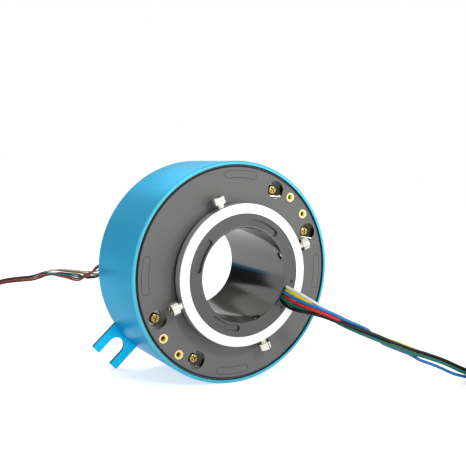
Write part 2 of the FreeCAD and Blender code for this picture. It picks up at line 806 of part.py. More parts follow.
def rotor_tube():
    """The hollow shaft that carries the bearings and the ring stack."""
    body = new_body("rotor_tube")
    front = -1 * size.rotor_front
    shoulder = -1 * size.guide_back
    back = size.housing_length
    seat = size.seat_radius
    turned(
        body,
        "tube_turned",
        [
            (size.bore_radius, front + size.bore_chamfer),
            (size.bore_radius + size.bore_chamfer, front),
            (size.neck_radius, front),
            (size.neck_radius, shoulder),
            (size.flange_radius, shoulder),
            (size.flange_radius, size.bearing_lip),
            (seat, size.bearing_lip),
            (seat, back),
            (size.bore_radius + size.bore_chamfer, back),
            (size.bore_radius, back - size.bore_chamfer),
        ],
    )
    clip = back - size.bearing_lip
    beyond = 1.0
    turned(
        body,
        "clip_groove",
        [
            (seat - size.clip_depth, clip),
            (seat + beyond, clip),
            (seat + beyond, clip + size.clip_thickness),
            (seat - size.clip_depth, clip + size.clip_thickness),
        ],
        "Groove",
    )
    slot = (size.guide_slot_circle, size.guide_slot_width)
    depth = size.channel_depth
    arc_slots(
        body, "channel", SPARE_SLOTS, *slot, size.guide_slot_half_angle, shoulder, depth
    )
    arc_slots(body, "lead_channel", (OUTLET,), *slot, size.outlet_half_angle, shoulder, depth)
    turned(
        body,
        "keyway",
        [
            (seat - size.keyway_depth, size.bearing_back),
            (seat + beyond, size.bearing_back),
            (seat + beyond, size.stack_back),
            (seat - size.keyway_depth, size.stack_back),
        ],
        "Groove",
        half_angle=size.keyway_half_angle,
        facing=OUTLET,
    )
    screws = guide_screw_spots()
    depth = size.guide_screw_length - size.rotor_front + size.guide_back
    drilled(body, "tube_screw_holes", screws, size.guide_screw_radius, shoulder, depth)
    clamp_holes(body, "tube_clamp_holes")
    face_rotor(body)
    keep(body, "rotor_tube")


def clamp_holes(body, name):
    """The four holes that the clamp screws pass through."""
    reach = size.collar_radius + 1
    radial_holes(body, name, -1 * size.clamp_place, size.clamp_radius, reach)


def wire_guide_ring():
    """The dark ring on the rotor's face, with slots that the leads can leave through."""
    body = new_body("wire_guide_ring")
    front, back = -1 * size.rotor_front, -1 * size.guide_back
    shoulder = -1 * size.collar_back
    section = [
        (size.neck_radius, front),
        (size.flange_radius, front),
        (size.flange_radius, shoulder),
        (size.shoulder_radius, shoulder),
        (size.shoulder_radius, back),
        (size.neck_radius, back),
    ]
    turned(body, "guide_turned", section)
    slot = (size.guide_slot_circle, size.guide_slot_width)
    depth = back - front
    arc_slots(
        body, "guide_slot", SPARE_SLOTS, *slot, size.guide_slot_half_angle, front, depth
    )
    arc_slots(body, "outlet_slot", (OUTLET,), *slot, size.outlet_half_angle, front, depth)
    screws = guide_screw_spots()
    drilled(body, "guide_screw_holes", screws, size.guide_screw_radius, front, depth)
    clamp_holes(body, "guide_clamp_holes")
    face_rotor(body)
    keep(body, "wire_guide_ring")


def guide_screws():
    """Two headless screws that fix the guide ring to the tube, with their sockets in its face."""
    body = new_body("guide_screw_form")
    length = size.guide_screw_length
    radius = size.guide_screw_radius
    section = [(-1 * length, 0), (-1 * length, radius), (0, radius), (0, 0)]
    turned(body, "guide_screw_turned", section, axis="H_Axis")
    hexagon(body, "guide_screw_socket", as_term(0), size.guide_screw_socket, radius)
    doc.recompute()
    turn = FreeCAD.Rotation(V(1, 0, 0), V(0, -1, 0))
    front = -1 * size.rotor_front
    spots = [on_circle(r, a + ROTOR_ANGLE, front) for r, a in guide_screw_spots()]
    grouped("guide_screws", [placed(body.Shape, spot, turn) for spot in spots])


def shaft_collar():
    """The bright clamp collar round the guide ring."""
    body = new_body("shaft_collar")
    front, back, edge = -1 * size.collar_front, -1 * size.collar_back, size.collar_chamfer
    turned(
        body,
        "collar_turned",
        [
            (size.flange_radius, front),
            (size.collar_radius - edge, front),
            (size.collar_radius, front + edge),
            (size.collar_radius, back - edge),
            (size.collar_radius - edge, back),
            (size.flange_radius, back),
        ],
    )
    clamp_holes(body, "collar_clamp_holes")
    face_rotor(body)
    keep(body, "shaft_collar")


def clamp_screws():
    """Four socket screws through the collar, which grip the customer's shaft."""
    seat = size.bore_radius + size.clamp_tip_gap + size.clamp_length
    for number, angle in enumerate(QUARTERS, start=1):
        label = f"clamp_screw_{number}"
        body = socket_screw(
            label,
            size.clamp_head_radius,
            size.clamp_head_height,
            size.clamp_radius,
            size.clamp_length,
            size.clamp_socket,
            size.clamp_socket_depth,
        )
        turn = angle + ROTOR_ANGLE
        spot = on_circle(seat, turn, -1 * size.clamp_place)
        body.Placement = FreeCAD.Placement(spot, about_shaft(turn))
        keep(body, label)


def ring_front(number):
    """The front of a contact ring, counted from 0 at the front."""
    return size.stack_front + size.fence_width + number * size.stack_step


def contact_rings():
    for number in range(int(size.ring_count.value)):
        label = f"contact_ring_{number + 1}"
        body = new_body(label)
        front = ring_front(number)
        middle = front + size.ring_width / 2
        turned(
            body,
            label + "_turned",
            [
                (size.sleeve_radius, front),
                (size.ring_radius, front),
                (size.ring_radius, middle - size.groove_half_width),
                (size.ring_radius - size.groove_depth, middle),
                (size.ring_radius, middle + size.groove_half_width),
                (size.ring_radius, front + size.ring_width),
                (size.sleeve_radius, front + size.ring_width),
            ],
        )
        keep(body, label)


def insulators():
    """Moulded rings with a fence between the contact rings and a sleeve under each of them."""
    last = int(size.ring_count.value)
    inner = size.seat_radius
    for number in range(last + 1):
        label = f"insulator_{number + 1}"
        body = new_body(label)
        front = size.stack_front + number * size.stack_step
        back = front + size.fence_width
        tail = size.stack_spacer if number == last else size.ring_width
        fence = [(size.fence_radius, front), (size.fence_radius, back)]
        sleeve = [(size.sleeve_radius, back), (size.sleeve_radius, back + tail)]
        section = [(inner, front)] + fence + sleeve + [(inner, back + tail)]
        if number == 0:
            start = front - size.stack_spacer
            spacer = [(inner, start), (size.sleeve_radius, start), (size.sleeve_radius, front)]
            section = spacer + section[1:]
        turned(body, label + "_turned", section)
        keep(body, label)


def retaining_ring():
    """The spring clip that holds the bearings and the ring stack on the tube."""
    body = new_body("retaining_ring")
    front = size.housing_length - size.bearing_lip
    back = front + size.clip_thickness
    inner = size.seat_radius - size.clip_depth
    section = [(inner, front), (size.clip_radius, front), (size.clip_radius, back), (inner, back)]
    turned(body, "clip_turned", section, half_angle=size.clip_half_angle)
    middle = (size.clip_radius + size.seat_radius) / 2
    spots = [(middle, side * (size.clip_half_angle - 3)) for side in (-1, 1)]
    drilled(body, "clip_holes", spots, size.clip_hole, front, size.clip_thickness)
    keep(body, "retaining_ring")


# The brush gear.


def brush_wires():
    """The straight spring wires of one brush block, for a block in the middle of +X."""
    # The wire lies between the sides of the groove, a little clear of both.
    half, depth = size.groove_half_width.value, size.groove_depth.value
    lift = (size.brush_radius + size.brush_gap).value * math.hypot(half, depth) / half
    touch = size.ring_radius.value - depth + lift
    face = size.block_inner_radius.value
    spread = math.degrees(math.acos(touch / face))
    held = math.sqrt(face**2 - touch**2) + size.brush_root.value
    over = size.brush_overrun.value
    turn = math.radians(-spread / 2)
    along = V(-math.sin(turn), 0, math.cos(turn))
    wires = []
    for number in range(int(size.ring_count.value)):
        middle = ring_front(number) + size.ring_width / 2
        start = on_circle(touch, -spread / 2, middle) - along * over
        wires.append(Part.makeCylinder(size.brush_radius.value, over + held, start, along))
    return wires


def brush_blocks():
    """Two moulded blocks that tie the caps together and hold the brush wires."""
    front = size.cap_thickness
    back = size.housing_length - size.cap_thickness
    outer = size.wall_radius - size.block_play
    inner = size.block_inner_radius
    screw = size.screw_length - size.cap_thickness + size.counterbore_depth + 1
    holes = [(size.screw_circle, side * size.screw_half_angle) for side in (-1, 1)]
    for number, angle in enumerate(BLOCKS, start=1):
        body = new_body(f"block_form_{number}")
        section = [(inner, front), (outer, front), (outer, back), (inner, back)]
        name = f"block_{number}"
        turned(body, name + "_sector", section, half_angle=size.block_half_angle)
        drilled(body, name + "_front_holes", holes, size.screw_radius, front, screw)
        drilled(body, name + "_rear_holes", holes, size.screw_radius, back, screw, -1)
        body.Placement = FreeCAD.Placement(V(), about_shaft(angle))
        wires = [placed(w, V(), about_shaft(angle)) for w in brush_wires()]
        tool = grouped(f"brush_wires_{number}", wires)
        block = doc.addObject("Part::Cut", f"brush_block_{number}")
        block.Base = body
        block.Tool = tool
        keep(block, f"brush_block_{number}")


# The free leads. Each bundle lies along straight runs joined by tangent arcs, and the length
# that nobody needs yet is wound into a small coil on the floor.

ROTOR_ROUTE = [
    (26.0, -8.5, -10.8),
    (26.1, -15.7, -11.9),
    (28.2, -22.4, -14.0),
    (33.2, -28.0, -17.0),
    (41.2, -31.8, -21.0),
    (52.8, -34.0, -26.4),
    (67.2, -35.2, -32.8),
    (83.6, -36.6, -39.2),
    (100.4, -38.8, -45.2),
    (114.0, -41.2, -51.2),
]
STATOR_ROUTE = [
    (-51.8, 51.4, 0.0),
    (-51.8, 59.0, -1.2),
    (-53.8, 67.0, -5.0),
    (-59.6, 75.5, -8.9),
    (-68.5, 84.0, -9.4),
    (-77.8, 92.0, -11.6),
    (-88.0, 100.8, -15.8),
    (-98.0, 109.3, -18.8),
    (-108.0, 116.0, -22.5),
    (-118.5, 121.0, -29.5),
    (-127.5, 123.5, -38.5),
    (-134.5, 122.4, -48.5),
]
ROTOR_COIL = (138.0, -82.0)
STATOR_COIL = (-121.0, 92.0)
ROTOR_ENTRY = 60.0
STATOR_ENTRY = 180.0


def bent_path(points):
    """Straight runs through the points, with an arc at each point as large as its runs allow."""
    edges, radii, last = [], [], points[0]
    for before, point, after in zip(points, points[1:], points[2:]):
        back, ahead = before - point, after - point
        short = min(back.Length, ahead.Length)
        trim = 0.45 * short
        half_turn = (math.pi - back.getAngle(ahead)) / 2
        radii.append(trim / math.tan(half_turn))
        back.normalize()
        ahead.normalize()
        start, end = point + back * trim, point + ahead * trim
        inside = (back + ahead).normalize()
        middle = point + inside * (radii[-1] / math.cos(half_turn) - radii[-1])
        edges.append(Part.LineSegment(last, start).toShape())
        edges.append(Part.Arc(start, middle, end).toShape())
        last = end
    edges.append(Part.LineSegment(last, points[-1]).toShape())
    return Part.Wire(edges), radii


def lead_tube(label, points, diameter):
    """The plain tube of a bundle of leads, checked against its section times its length."""
    path, radii = bent_path(points)
    start = Part.Circle(points[0], points[1] - points[0], diameter / 2).toShape()
    tube = path.makePipeShell([Part.Wire(start)], True, False)
    expected = math.pi * diameter**2 / 4 * path.Length
    print(f"{label}: {path.Length:.1f} mm long, smallest radius {min(radii):.1f} mm,", end=" ")
    print("radii", [round(r, 1) for r in radii], f"volume share {tube.Volume / expected:.4f}")
    if abs(tube.Volume / expected - 1) > 0.01:
        raise ValueError(f"{label} doesn't fill its section along its length")
    grouped(label, [tube])


def coil_entry(centre, radius, angle, clockwise, diameter):
    """A coil's tangent stub on the floor: its start, where the lead meets it, and its end."""
    floor = diameter / 2 - size.housing_radius.value
    turn = math.radians(angle)
    out = V(math.cos(turn), math.sin(turn), 0)
    heading = V(out.y, -out.x, 0) if clockwise else V(-out.y, out.x, 0)
    end = V(centre[0], centre[1], floor) + out * radius
    # Beyond this length the lead is clear of the turns.
    length = math.sqrt((radius + diameter) ** 2 - radius**2) + 1
    return end - heading * length, end


def lead_coil(label, centre, radius, turns, diameter, start, end):
    """The outer shape of a coil of turns laid one on the other, with the stub that enters it."""
    thick = diameter / 2
    low = -size.housing_radius.value
    middle = V(centre[0], centre[1], low + thick)
    top = V(centre[0], centre[1], low + diameter * turns - thick)
    near, far = V(radius - thick, 0, 0), V(radius + thick, 0, 0)
    side = V(0, 0, thick)
    section = Part.Wire(
        [
            Part.Arc(middle + near, middle + V(radius, 0, 0) - side, middle + far).toShape(),
            Part.LineSegment(middle + far, top + far).toShape(),
            Part.Arc(top + far, top + V(radius, 0, 0) + side, top + near).toShape(),
            Part.LineSegment(top + near, middle + near).toShape(),
        ]
    )
    ring = Part.Face(section).revolve(V(centre[0], centre[1], 0), V(0, 0, 1), 360)
    stub = Part.makeCylinder(thick, start.distanceToPoint(end), start, end - start)
    grouped(label, [ring.fuse(stub)])


def leads():
    bundles = (
        ("rotor", ROTOR_ROUTE, ROTOR_COIL, ROTOR_ENTRY, True),
        ("stator", STATOR_ROUTE, STATOR_COIL, STATOR_ENTRY, False),
    )
    for owner, route, centre, angle, clockwise in bundles:
        diameter = term_of(owner + "_bundle").value
        radius = term_of(owner + "_coil_radius").value
        turns = int(term_of(owner + "_coil_turns").value)
        start, end = coil_entry(centre, radius, angle, clockwise, diameter)
        approach = (start - end).normalize() * size.coil_approach.value
        points = [V(*p) for p in route] + [start + approach, start]
        lead_tube(owner + "_leads", points, diameter)
        lead_coil(owner + "_lead_coil", centre, radius, turns, diameter, start, end)


housing()
end_cap("front_end_cap", as_term(0), 1)
end_cap("rear_end_cap", size.housing_length, -1)
opening_covers("front_opening_covers", 0, 1, QUARTERS)
opening_covers("rear_opening_covers", size.housing_length, -1, (0.0, 90.0, 270.0))
lead_grommet()
cap_screws()
threaded_inserts()
anti_rotation_tab()
tab_screws()
bearing("front", as_term(0))
bearing("rear", size.housing_length - 2 * size.ball_middle)
brush_blocks()
rotor_tube()
wire_guide_ring()
guide_screws()
shaft_collar()
clamp_screws()
contact_rings()
insulators()
retaining_ring()
leads()
doc.recompute()

for thing in doc.Objects:
    if "Invalid" in thing.State or "Error" in thing.State:
        raise RuntimeError(f"{thing.Label} failed: {thing.State}")
for piece in kept:
    if piece.Shape.isNull() or not piece.Shape.isValid() or not piece.Shape.Solids:
        raise RuntimeError(f"{piece.Label} has no valid solid")

os.makedirs("parts", exist_ok=True)
for piece in kept:
    piece.Shape.exportStep(f"parts/{piece.Label}.step")
print(len(kept), "pieces,", sum(len(piece.Shape.Solids) for piece in kept), "solids")
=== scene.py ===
# %% [markdown]
# # A through-bore slip ring, dressed for its portrait
#
# A slip ring carries electric circuits from a fixed frame to a turning shaft. The construction
# model gives every piece at its real size. This lesson gives each piece its finish, adds the
# small forms that a construction model leaves out, and lights and frames the whole.
#
# Everything is in metres, in the frame of the construction model: the shaft axis is Y, the lead
# end of the rotor faces -Y, +Z is up, and the origin is in the plane of the housing's front rim.

# %% Load the frame
import math

import bmesh
import bpy
from mathutils import Matrix, Vector


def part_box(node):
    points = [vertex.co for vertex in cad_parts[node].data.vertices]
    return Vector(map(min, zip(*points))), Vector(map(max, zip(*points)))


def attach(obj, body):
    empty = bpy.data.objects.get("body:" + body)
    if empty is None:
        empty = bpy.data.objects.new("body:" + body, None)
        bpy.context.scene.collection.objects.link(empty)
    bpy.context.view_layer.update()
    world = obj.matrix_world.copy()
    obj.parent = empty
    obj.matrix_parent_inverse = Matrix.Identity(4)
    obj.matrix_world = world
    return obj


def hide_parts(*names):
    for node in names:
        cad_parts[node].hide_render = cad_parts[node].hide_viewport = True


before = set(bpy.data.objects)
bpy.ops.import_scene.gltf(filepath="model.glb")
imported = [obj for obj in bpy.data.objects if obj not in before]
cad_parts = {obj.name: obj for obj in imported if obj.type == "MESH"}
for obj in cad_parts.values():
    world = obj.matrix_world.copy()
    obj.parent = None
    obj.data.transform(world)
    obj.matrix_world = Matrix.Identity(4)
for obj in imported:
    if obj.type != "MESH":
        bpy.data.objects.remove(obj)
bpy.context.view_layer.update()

MM = 0.001

# %% [markdown]
# ## The camera
#
# The picture was taken from the front left, a little above the ring, with a normal lens from
# about 37 cm. The camera could be aimed with a Track To constraint, but three angles are simpler
# to read and to correct: how far it looks up from straight down, its small roll, and its heading.

# %% Camera
CAMERA_PLACE = (-0.18875, -0.31303, 0.04901)
CAMERA_TURN = (85.666, -2.585, -30.432)
LENS = 53.54


def placed(name, data):
    """A new object in the scene."""
    thing = bpy.data.objects.new(name, data)
    bpy.context.collection.objects.link(thing)
    return thing


camera_data = bpy.data.cameras.new("camera")
camera_data.lens = LENS
camera_data.sensor_width = 36
camera_data.clip_start = 0.01
camera = placed("camera", camera_data)
camera.location = CAMERA_PLACE
camera.rotation_euler = [math.radians(turn) for turn in CAMERA_TURN]
bpy.context.scene.camera = camera
bpy.context.scene.view_settings.view_transform = "Standard"
print("camera at", CAMERA_PLACE, "lens", LENS, "mm")

# %% [markdown]
# ## Small helpers for materials
#
# Colours are written as the hex values that an eye would pick from the screen. Blender works
# with linear light, so one function turns them. A second one adds a node to a material with its
# settings and links, and one adds the noise that several finishes share. The last starts a
# material from the Principled shader, which covers metal, plastic and rubber alike.

# %% Colour, node and material helpers
def linear(code):
    """An sRGB hex colour such as #20C8EE as linear red, green, blue and alpha."""
    parts = [int(code[i:i + 2], 16) / 255 for i in (1, 3, 5)]
    return [c / 12.92 if c <= 0.04045 else ((c + 0.055) / 1.055) ** 2.4 for c in parts] + [1.0]


def add_node(tree, kind, inputs=None, **settings):
    """A new node: settings are its own properties, inputs are values or sockets to link."""
    node = tree.nodes.new(kind)
    for name, value in settings.items():
        setattr(node, name, value)
    for name, value in (inputs or {}).items():
        if isinstance(value, bpy.types.NodeSocket):
            tree.links.new(value, node.inputs[name])
        else:
            node.inputs[name].default_value = value
    return node


def noise(tree, place, scale):
    """Soft random cells, as many to the metre as the scale says."""
    inputs = {"Vector": place.outputs["Object"], "Scale": scale}
    return add_node(tree, "ShaderNodeTexNoise", inputs)


def new_material(name, **values):
    """A material with a Principled shader, and its tree and shader for further nodes."""
    material = bpy.data.materials.new(name)
    material.use_nodes = True
    tree = material.node_tree
    shader = tree.nodes["Principled BSDF"]
    for socket, value in values.items():
        shader.inputs[socket.replace("_", " ")].default_value = value
    return material, tree, shader


print("a mid grey #808080 is", round(linear("#808080")[0], 3), "in linear light")

# %% [markdown]
# ## The free leads
#
# Each bundle is six insulated wires. The rotor's wires leave its face one above the other and
# draw together; the stator's thin wires hang loosely behind the housing. What nobody needs yet
# is wound into a small tied coil on the floor.
#
# One tube could stand for a bundle, but single wires are what the eye sees. So the route is a
# NURBS curve through a few given points, the wires are lines beside that curve, and
# Blender's own curve bevel gives each of them its round section.

# %% Routes and coils
FLOOR = -59.5 * MM
ROTOR_BUNDLE = 5.4 * MM
STATOR_BUNDLE = 3.2 * MM
ROTOR_ROUTE = [
    (0.0259, -0.0070, -0.0109),
    (0.0260, -0.0088, -0.0113),
    (0.0274, -0.0146, -0.0134),
    (0.0291, -0.0217, -0.0146),
    (0.0336, -0.0278, -0.0165),
    (0.0412, -0.0318, -0.0199),
    (0.0528, -0.0340, -0.0253),
    (0.0672, -0.0352, -0.0316),
    (0.0836, -0.0366, -0.0380),
    (0.1004, -0.0388, -0.0440),
    (0.1140, -0.0412, -0.0483),
    (0.1256, -0.0437, -0.0536),
    (0.13512, -0.04916, -0.0568),
]
STATOR_ROUTE = [
    (-0.0526, 0.0514, 0.0),
    (-0.0526, 0.0590, -0.0018),
    (-0.0538, 0.0670, -0.0080),
    (-0.0596, 0.0755, -0.0105),
    (-0.0660, 0.0816, -0.0098),
    (-0.0749, 0.0895, -0.0092),
    (-0.0815, 0.0952, -0.0136),
    (-0.0880, 0.1008, -0.0148),
    (-0.0980, 0.1093, -0.0172),
    (-0.1080, 0.1160, -0.0225),
    (-0.1185, 0.1210, -0.0295),
    (-0.1275, 0.1235, -0.0385),
    (-0.1345, 0.1224, -0.0485),
    (-0.1380, 0.1149, -0.0579),
    (-0.1380, 0.1039, -0.0579),
]
# Middle of each coil, and the radius of its turns.
ROTOR_COIL = ((0.138, -0.082), 0.027)
STATOR_COIL = ((-0.121, 0.092), 0.017)
POINTS_PER_TURN = 24
CLIMB_START, CLIMB_END = 0.8, 0.98


def coil_points(place, entry, turns, clockwise, diameter):
    """Turns laid flat on the floor, each climbing onto the last just before it is complete."""
    (x, y), radius = place
    points = []
    for step in range(1, round(turns * POINTS_PER_TURN) + 1):
        share = step / POINTS_PER_TURN
        climbed = min(1.0, max(0.0, (share % 1 - CLIMB_START) / (CLIMB_END - CLIMB_START)))
        turn = math.radians(entry + (-360 if clockwise else 360) * share)
        height = FLOOR + diameter * (0.5 + math.floor(share) + climbed)
        points.append((x + radius * math.cos(turn), y + radius * math.sin(turn), height))
    return points


rotor_coil = coil_points(ROTOR_COIL, 60, 1.95, True, ROTOR_BUNDLE)
stator_coil = coil_points(STATOR_COIL, 180, 2.95, False, STATOR_BUNDLE)
print(len(rotor_coil), "and", len(stator_coil), "coil points")


# %% Read the smooth line of a route
def drawn(name, kind, points):
    """A curve of one spline with these points."""
    curve = bpy.data.curves.new(name, "CURVE")
    curve.dimensions = "3D"
    spline = curve.splines.new(kind)
    spline.points.add(len(points) - 1)
    for place, point in zip(spline.points, points):
        place.co = (*point, 1)
    return curve, spline


def meshed(curve):
    """The mesh of a curve, in place of the curve."""
    holder = placed(curve.name, curve)
    mesh = bpy.data.meshes.new_from_object(holder)
    bpy.data.objects.remove(holder)
    bpy.data.curves.remove(curve)
    return mesh


def smooth_line(name, points, spacing):
    """Evenly spaced points along the NURBS spline that has these control points."""
    curve, spline = drawn(name, "NURBS", points)
    spline.order_u = 3
    spline.use_endpoint_u = True
    spline.resolution_u = 24
    mesh = meshed(curve)
    line = [v.co.copy() for v in mesh.vertices]
    bpy.data.meshes.remove(mesh)
    even, carried = [line[0]], 0.0
    for start, end in zip(line, line[1:]):
        step = (end - start).length
        while carried + step >= spacing:
            start = start.lerp(end, (spacing - carried) / step)
            step = (end - start).length
            even.append(start.copy())
            carried = 0.0
        carried += step
    return even


rotor_line = smooth_line("rotor_route", ROTOR_ROUTE + rotor_coil, 1.2 * MM)
stator_line = smooth_line("stator_route", STATOR_ROUTE + stator_coil, 0.9 * MM)


def length_of(line):
    """The length of a line of points."""
    return sum((b - a).length for a, b in zip(line, line[1:]))


for name, line in (("rotor", rotor_line), ("stator", stator_line)):
    print(name, "line of", round(length_of(line), 4), "m")


# %% Wires beside a line
def beside(line, offset):
    """A wire's own line: offset gives its place across the bundle, sideways and up."""
    points, travelled = [], 0.0
    for i, point in enumerate(line):
        along = line[min(i + 1, len(line) - 1)] - line[max(i - 1, 0)]
        side = along.cross(Vector((0, 0, 1))).normalized()
        up = side.cross(along).normalized()
        if i:
            travelled += (point - line[i - 1]).length
        across, above = offset(travelled)
        points.append(point + side * across + up * above)
    return points


def tube_mesh(points, radius, detail=3):
    """A round tube with closed ends along points, as a mesh of its own."""
    curve, _ = drawn("tube", "POLY", points)
    curve.bevel_depth = radius
    curve.bevel_resolution = detail
    curve.use_fill_caps = True
    return meshed(curve)


def ease(x):
    """0 before 0, 1 after 1 and smooth between."""
    x = min(1.0, max(0.0, x))
    return x * x * (3 - 2 * x)


# %% [markdown]
# ### How the wires lie in their bundle
#
# At the rotor's face six wires fill the outlet slot in a row, and the row closes to a round
# bundle. Along it one wire or another slips into the middle and comes out elsewhere, as in any
# bundle that is gathered by hand. The stator's wires stand apart where nothing holds them. So a
# short table says where each wire lies at a few stations, and it runs smoothly between them.

# %% Wire places across the bundles
ROTOR_WIRE = 0.9 * MM
STATOR_WIRE = 0.525 * MM
# Wires round one in the middle touch it at twice their radius.
ROTOR_REACH = 2 * ROTOR_WIRE
OUTLET_TURN = math.radians(22.5)


def around(radius, *turns):
    """Places on a circle, in degrees from the top towards the side; None is the middle."""
    places = []
    for turn in turns:
        reach = 0 if turn is None else radius
        angle = math.radians(turn or 0)
        places.append((reach * math.sin(angle), reach * math.cos(angle)))
    return places


def apart(places, number, factor):
    """The same places with one wire further out."""
    x, y = places[number]
    return [*places[:number], (x * factor, y * factor), *places[number + 1:]]


def row(step, stagger):
    """Six places along the outlet slot, every second one standing back from the others."""
    sin, cos = math.sin(OUTLET_TURN), math.cos(OUTLET_TURN)
    places = []
    for number in range(6):
        reach = (2.5 - number) * step
        out = stagger if number % 2 else -stagger
        places.append((-reach * sin - out * cos, reach * cos - out * sin))
    return places


# Millimetres along, then white, yellow, blue, red, green and black.
ROTOR_STATIONS = [
    (1.5, row(1.62 * MM, 0.4 * MM)),
    (7, row(1.83 * MM, 0)),
    (32, around(ROTOR_REACH, 340, 280, 40, 100, 220, 160)),
    (39, around(ROTOR_REACH, 330, 258, 42, None, 186, 114)),
    (49, around(ROTOR_REACH, 300, 228, 12, None, 156, 84)),
    (55, around(ROTOR_REACH, 300, 225, 0, None, 144, 70)),
    (61, around(ROTOR_REACH, 350, 290, None, 228, 134, 58)),
    (70, around(ROTOR_REACH, 0, 300, 200, 250, 126, 56)),
    (76, around(ROTOR_REACH, None, 345, 200, 272, 125, 52)),
    (87, around(ROTOR_REACH, None, 340, 196, 268, 122, 50)),
    (98, apart(around(ROTOR_REACH, None, 318, 178, 265, 102, 30), 2, 1.7)),
    (118, apart(around(ROTOR_REACH, None, 318, 178, 265, 102, 30), 2, 1.95)),
    (138, around(ROTOR_REACH, None, 318, 174, 246, 102, 30)),
]
# Millimetres along, then pink, brown, cream, teal, olive and dark.
STATOR_STATIONS = [
    (6, around(1.05 * MM, 0, 60, 120, 180, 240, 300)),
    (15, around(1.0 * MM, 354, 8, 40, 174, 166, 186)),
    (23, around(1.0 * MM, 255, 315, 10, 155, 40, 180)),
    (31, around(1.0 * MM, 190, 200, 5, 180, 15, 345)),
    (40, around(1.0 * MM, 195, 170, 5, 205, 30, 300)),
    (48, around(1.3 * MM, 200, 165, 320, 260, 20, 230)),
    (53, around(1.3 * MM, 270, 190, 30, None, 120, 320)),
    (57, around(1.35 * MM, None, 205, 30, 90, 148, 328)),
    (66, around(1.3 * MM, None, 210, 30, 90, 150, 328)),
    (80, around(1.2 * MM, None, 212, 30, 90, 150, 328)),
    (100, around(1.1 * MM, None, 212, 30, 90, 150, 328)),
]
# Millimetres along, then how many times further out each of the stator's loose wires lies.
SPREADS = {15: (2.9, 2.1, 0.6, 2.0, 1.3, 2.8), 23: (0.8, 1.1, 2.0, 1.0, 0.9, 1.7),
           31: (3.0, 1.9, 2.7, 0.6, 1.7, 0.6), 40: (2.1, 1.3, 2.3, 0.7, 1.5, 0.5)}
for index, (along, places) in enumerate(STATOR_STATIONS):
    for number, factor in enumerate(SPREADS.get(along, ())):
        places = apart(places, number, factor)
    STATOR_STATIONS[index] = (along, places)


def lie(stations, twist):
    """A rule that gives each wire's place; past the last station the bundle turns evenly."""

    def offset_of(number):
        def offset(travelled):
            along = travelled / MM
            for (start, before), (end, after) in zip(stations, stations[1:]):
                if along <= end:
                    break
            share = ease((along - start) / (end - start))
            x, y = (a + (b - a) * share for a, b in zip(before[number], after[number]))
            turn = math.radians(twist * max(0.0, along - stations[-1][0]))
            cos, sin = math.cos(turn), math.sin(turn)
            return x * cos + y * sin, y * cos - x * sin

        return offset

    return offset_of


# %% [markdown]
# ### Wire insulation
#
# Lead wire is stranded copper under a smooth extruded skin of fluoropolymer: opaque,
# saturated colour, half gloss. The skin picks up a little dust and handling, so a fine noise
# moves its roughness, and a very low bump breaks the highlight as the lay of the strands does.

# %% Insulation and bare copper
# Marks of handling are far finer; cells of 1.4 mm are as coarse as they need to be to show.
MOTTLE_SCALE = 700.0


def insulation(name, code, roughness=0.34):
    """Extruded fluoropolymer: its low IOR of 1.35 reflects little, so its colour stays full."""
    material, tree, shader = new_material(name, Base_Color=linear(code), IOR=1.35)
    place = add_node(tree, "ShaderNodeTexCoord")
    mottle = noise(tree, place, MOTTLE_SCALE)
    spread = add_node(
        tree,
        "ShaderNodeMapRange",
        {"Value": mottle.outputs["Fac"], "To Min": roughness - 0.06, "To Max": roughness + 0.1},
    )
    tree.links.new(spread.outputs["Result"], shader.inputs["Roughness"])
    bump = add_node(
        tree,
        "ShaderNodeBump",
        {"Height": mottle.outputs["Fac"], "Strength": 0.08, "Distance": 0.1 * MM},
    )
    tree.links.new(bump.outputs["Normal"], shader.inputs["Normal"])
    return material


ROTOR_COLOURS = (
    ("white", "#FAFAF7"),
    ("yellow", "#FFEC24"),
    ("blue", "#2A80CE"),
    ("red", "#DA3024"),
    ("green", "#146E62"),
    ("black", "#0B0B0D"),
)
STATOR_COLOURS = (
    ("pink", "#B8605F"),
    ("brown", "#6B4A38"),
    ("cream", "#D9CFB6"),
    ("teal", "#4E8C8E"),
    ("olive", "#8D8347"),
    ("dark", "#2B2926"),
)
rotor_skins = [insulation(f"fluoropolymer_{name}", code) for name, code in ROTOR_COLOURS]
stator_skins = [insulation(f"thin_fluoropolymer_{name}", code) for name, code in STATOR_COLOURS]
# Tinned copper strands: a soft silvery grey.
tinned_copper, _, _ = new_material(
    "tinned_copper_strands", Base_Color=linear("#C9C5BC"), Metallic=1.0, Roughness=0.35
)
print(len(rotor_skins) + len(stator_skins), "insulation colours")


# %% One mesh for each bundle
# The last steps of each wire are bare strands: 6 mm on the rotor, 4.5 mm on the stator.
STRIPPED_POINTS = 5
STRAND_SHARE = 0.55


def bundle(name, line, offset_of, skins, wire_radius):
    """Six wires and their stripped ends, joined as one piece with a material for each colour."""
    joined = bmesh.new()
    for number in range(len(skins)):
        points = beside(line, offset_of(number))
        parts = (
            (points[:-STRIPPED_POINTS], wire_radius, number),
            (points[-STRIPPED_POINTS - 1:], wire_radius * STRAND_SHARE, len(skins)),
        )
        for stretch, radius, slot in parts:
            mesh = tube_mesh(stretch, radius)
            for face in mesh.polygons:
                face.material_index = slot
                face.use_smooth = True
            joined.from_mesh(mesh)
            bpy.data.meshes.remove(mesh)
    bmesh.ops.recalc_face_normals(joined, faces=joined.faces)
    mesh = bpy.data.meshes.new(name)
    joined.to_mesh(mesh)
    joined.free()
    for material in (*skins, tinned_copper):
        mesh.materials.append(material)
    piece = placed(name, mesh)
    print(name, len(mesh.polygons), "faces")
    return piece


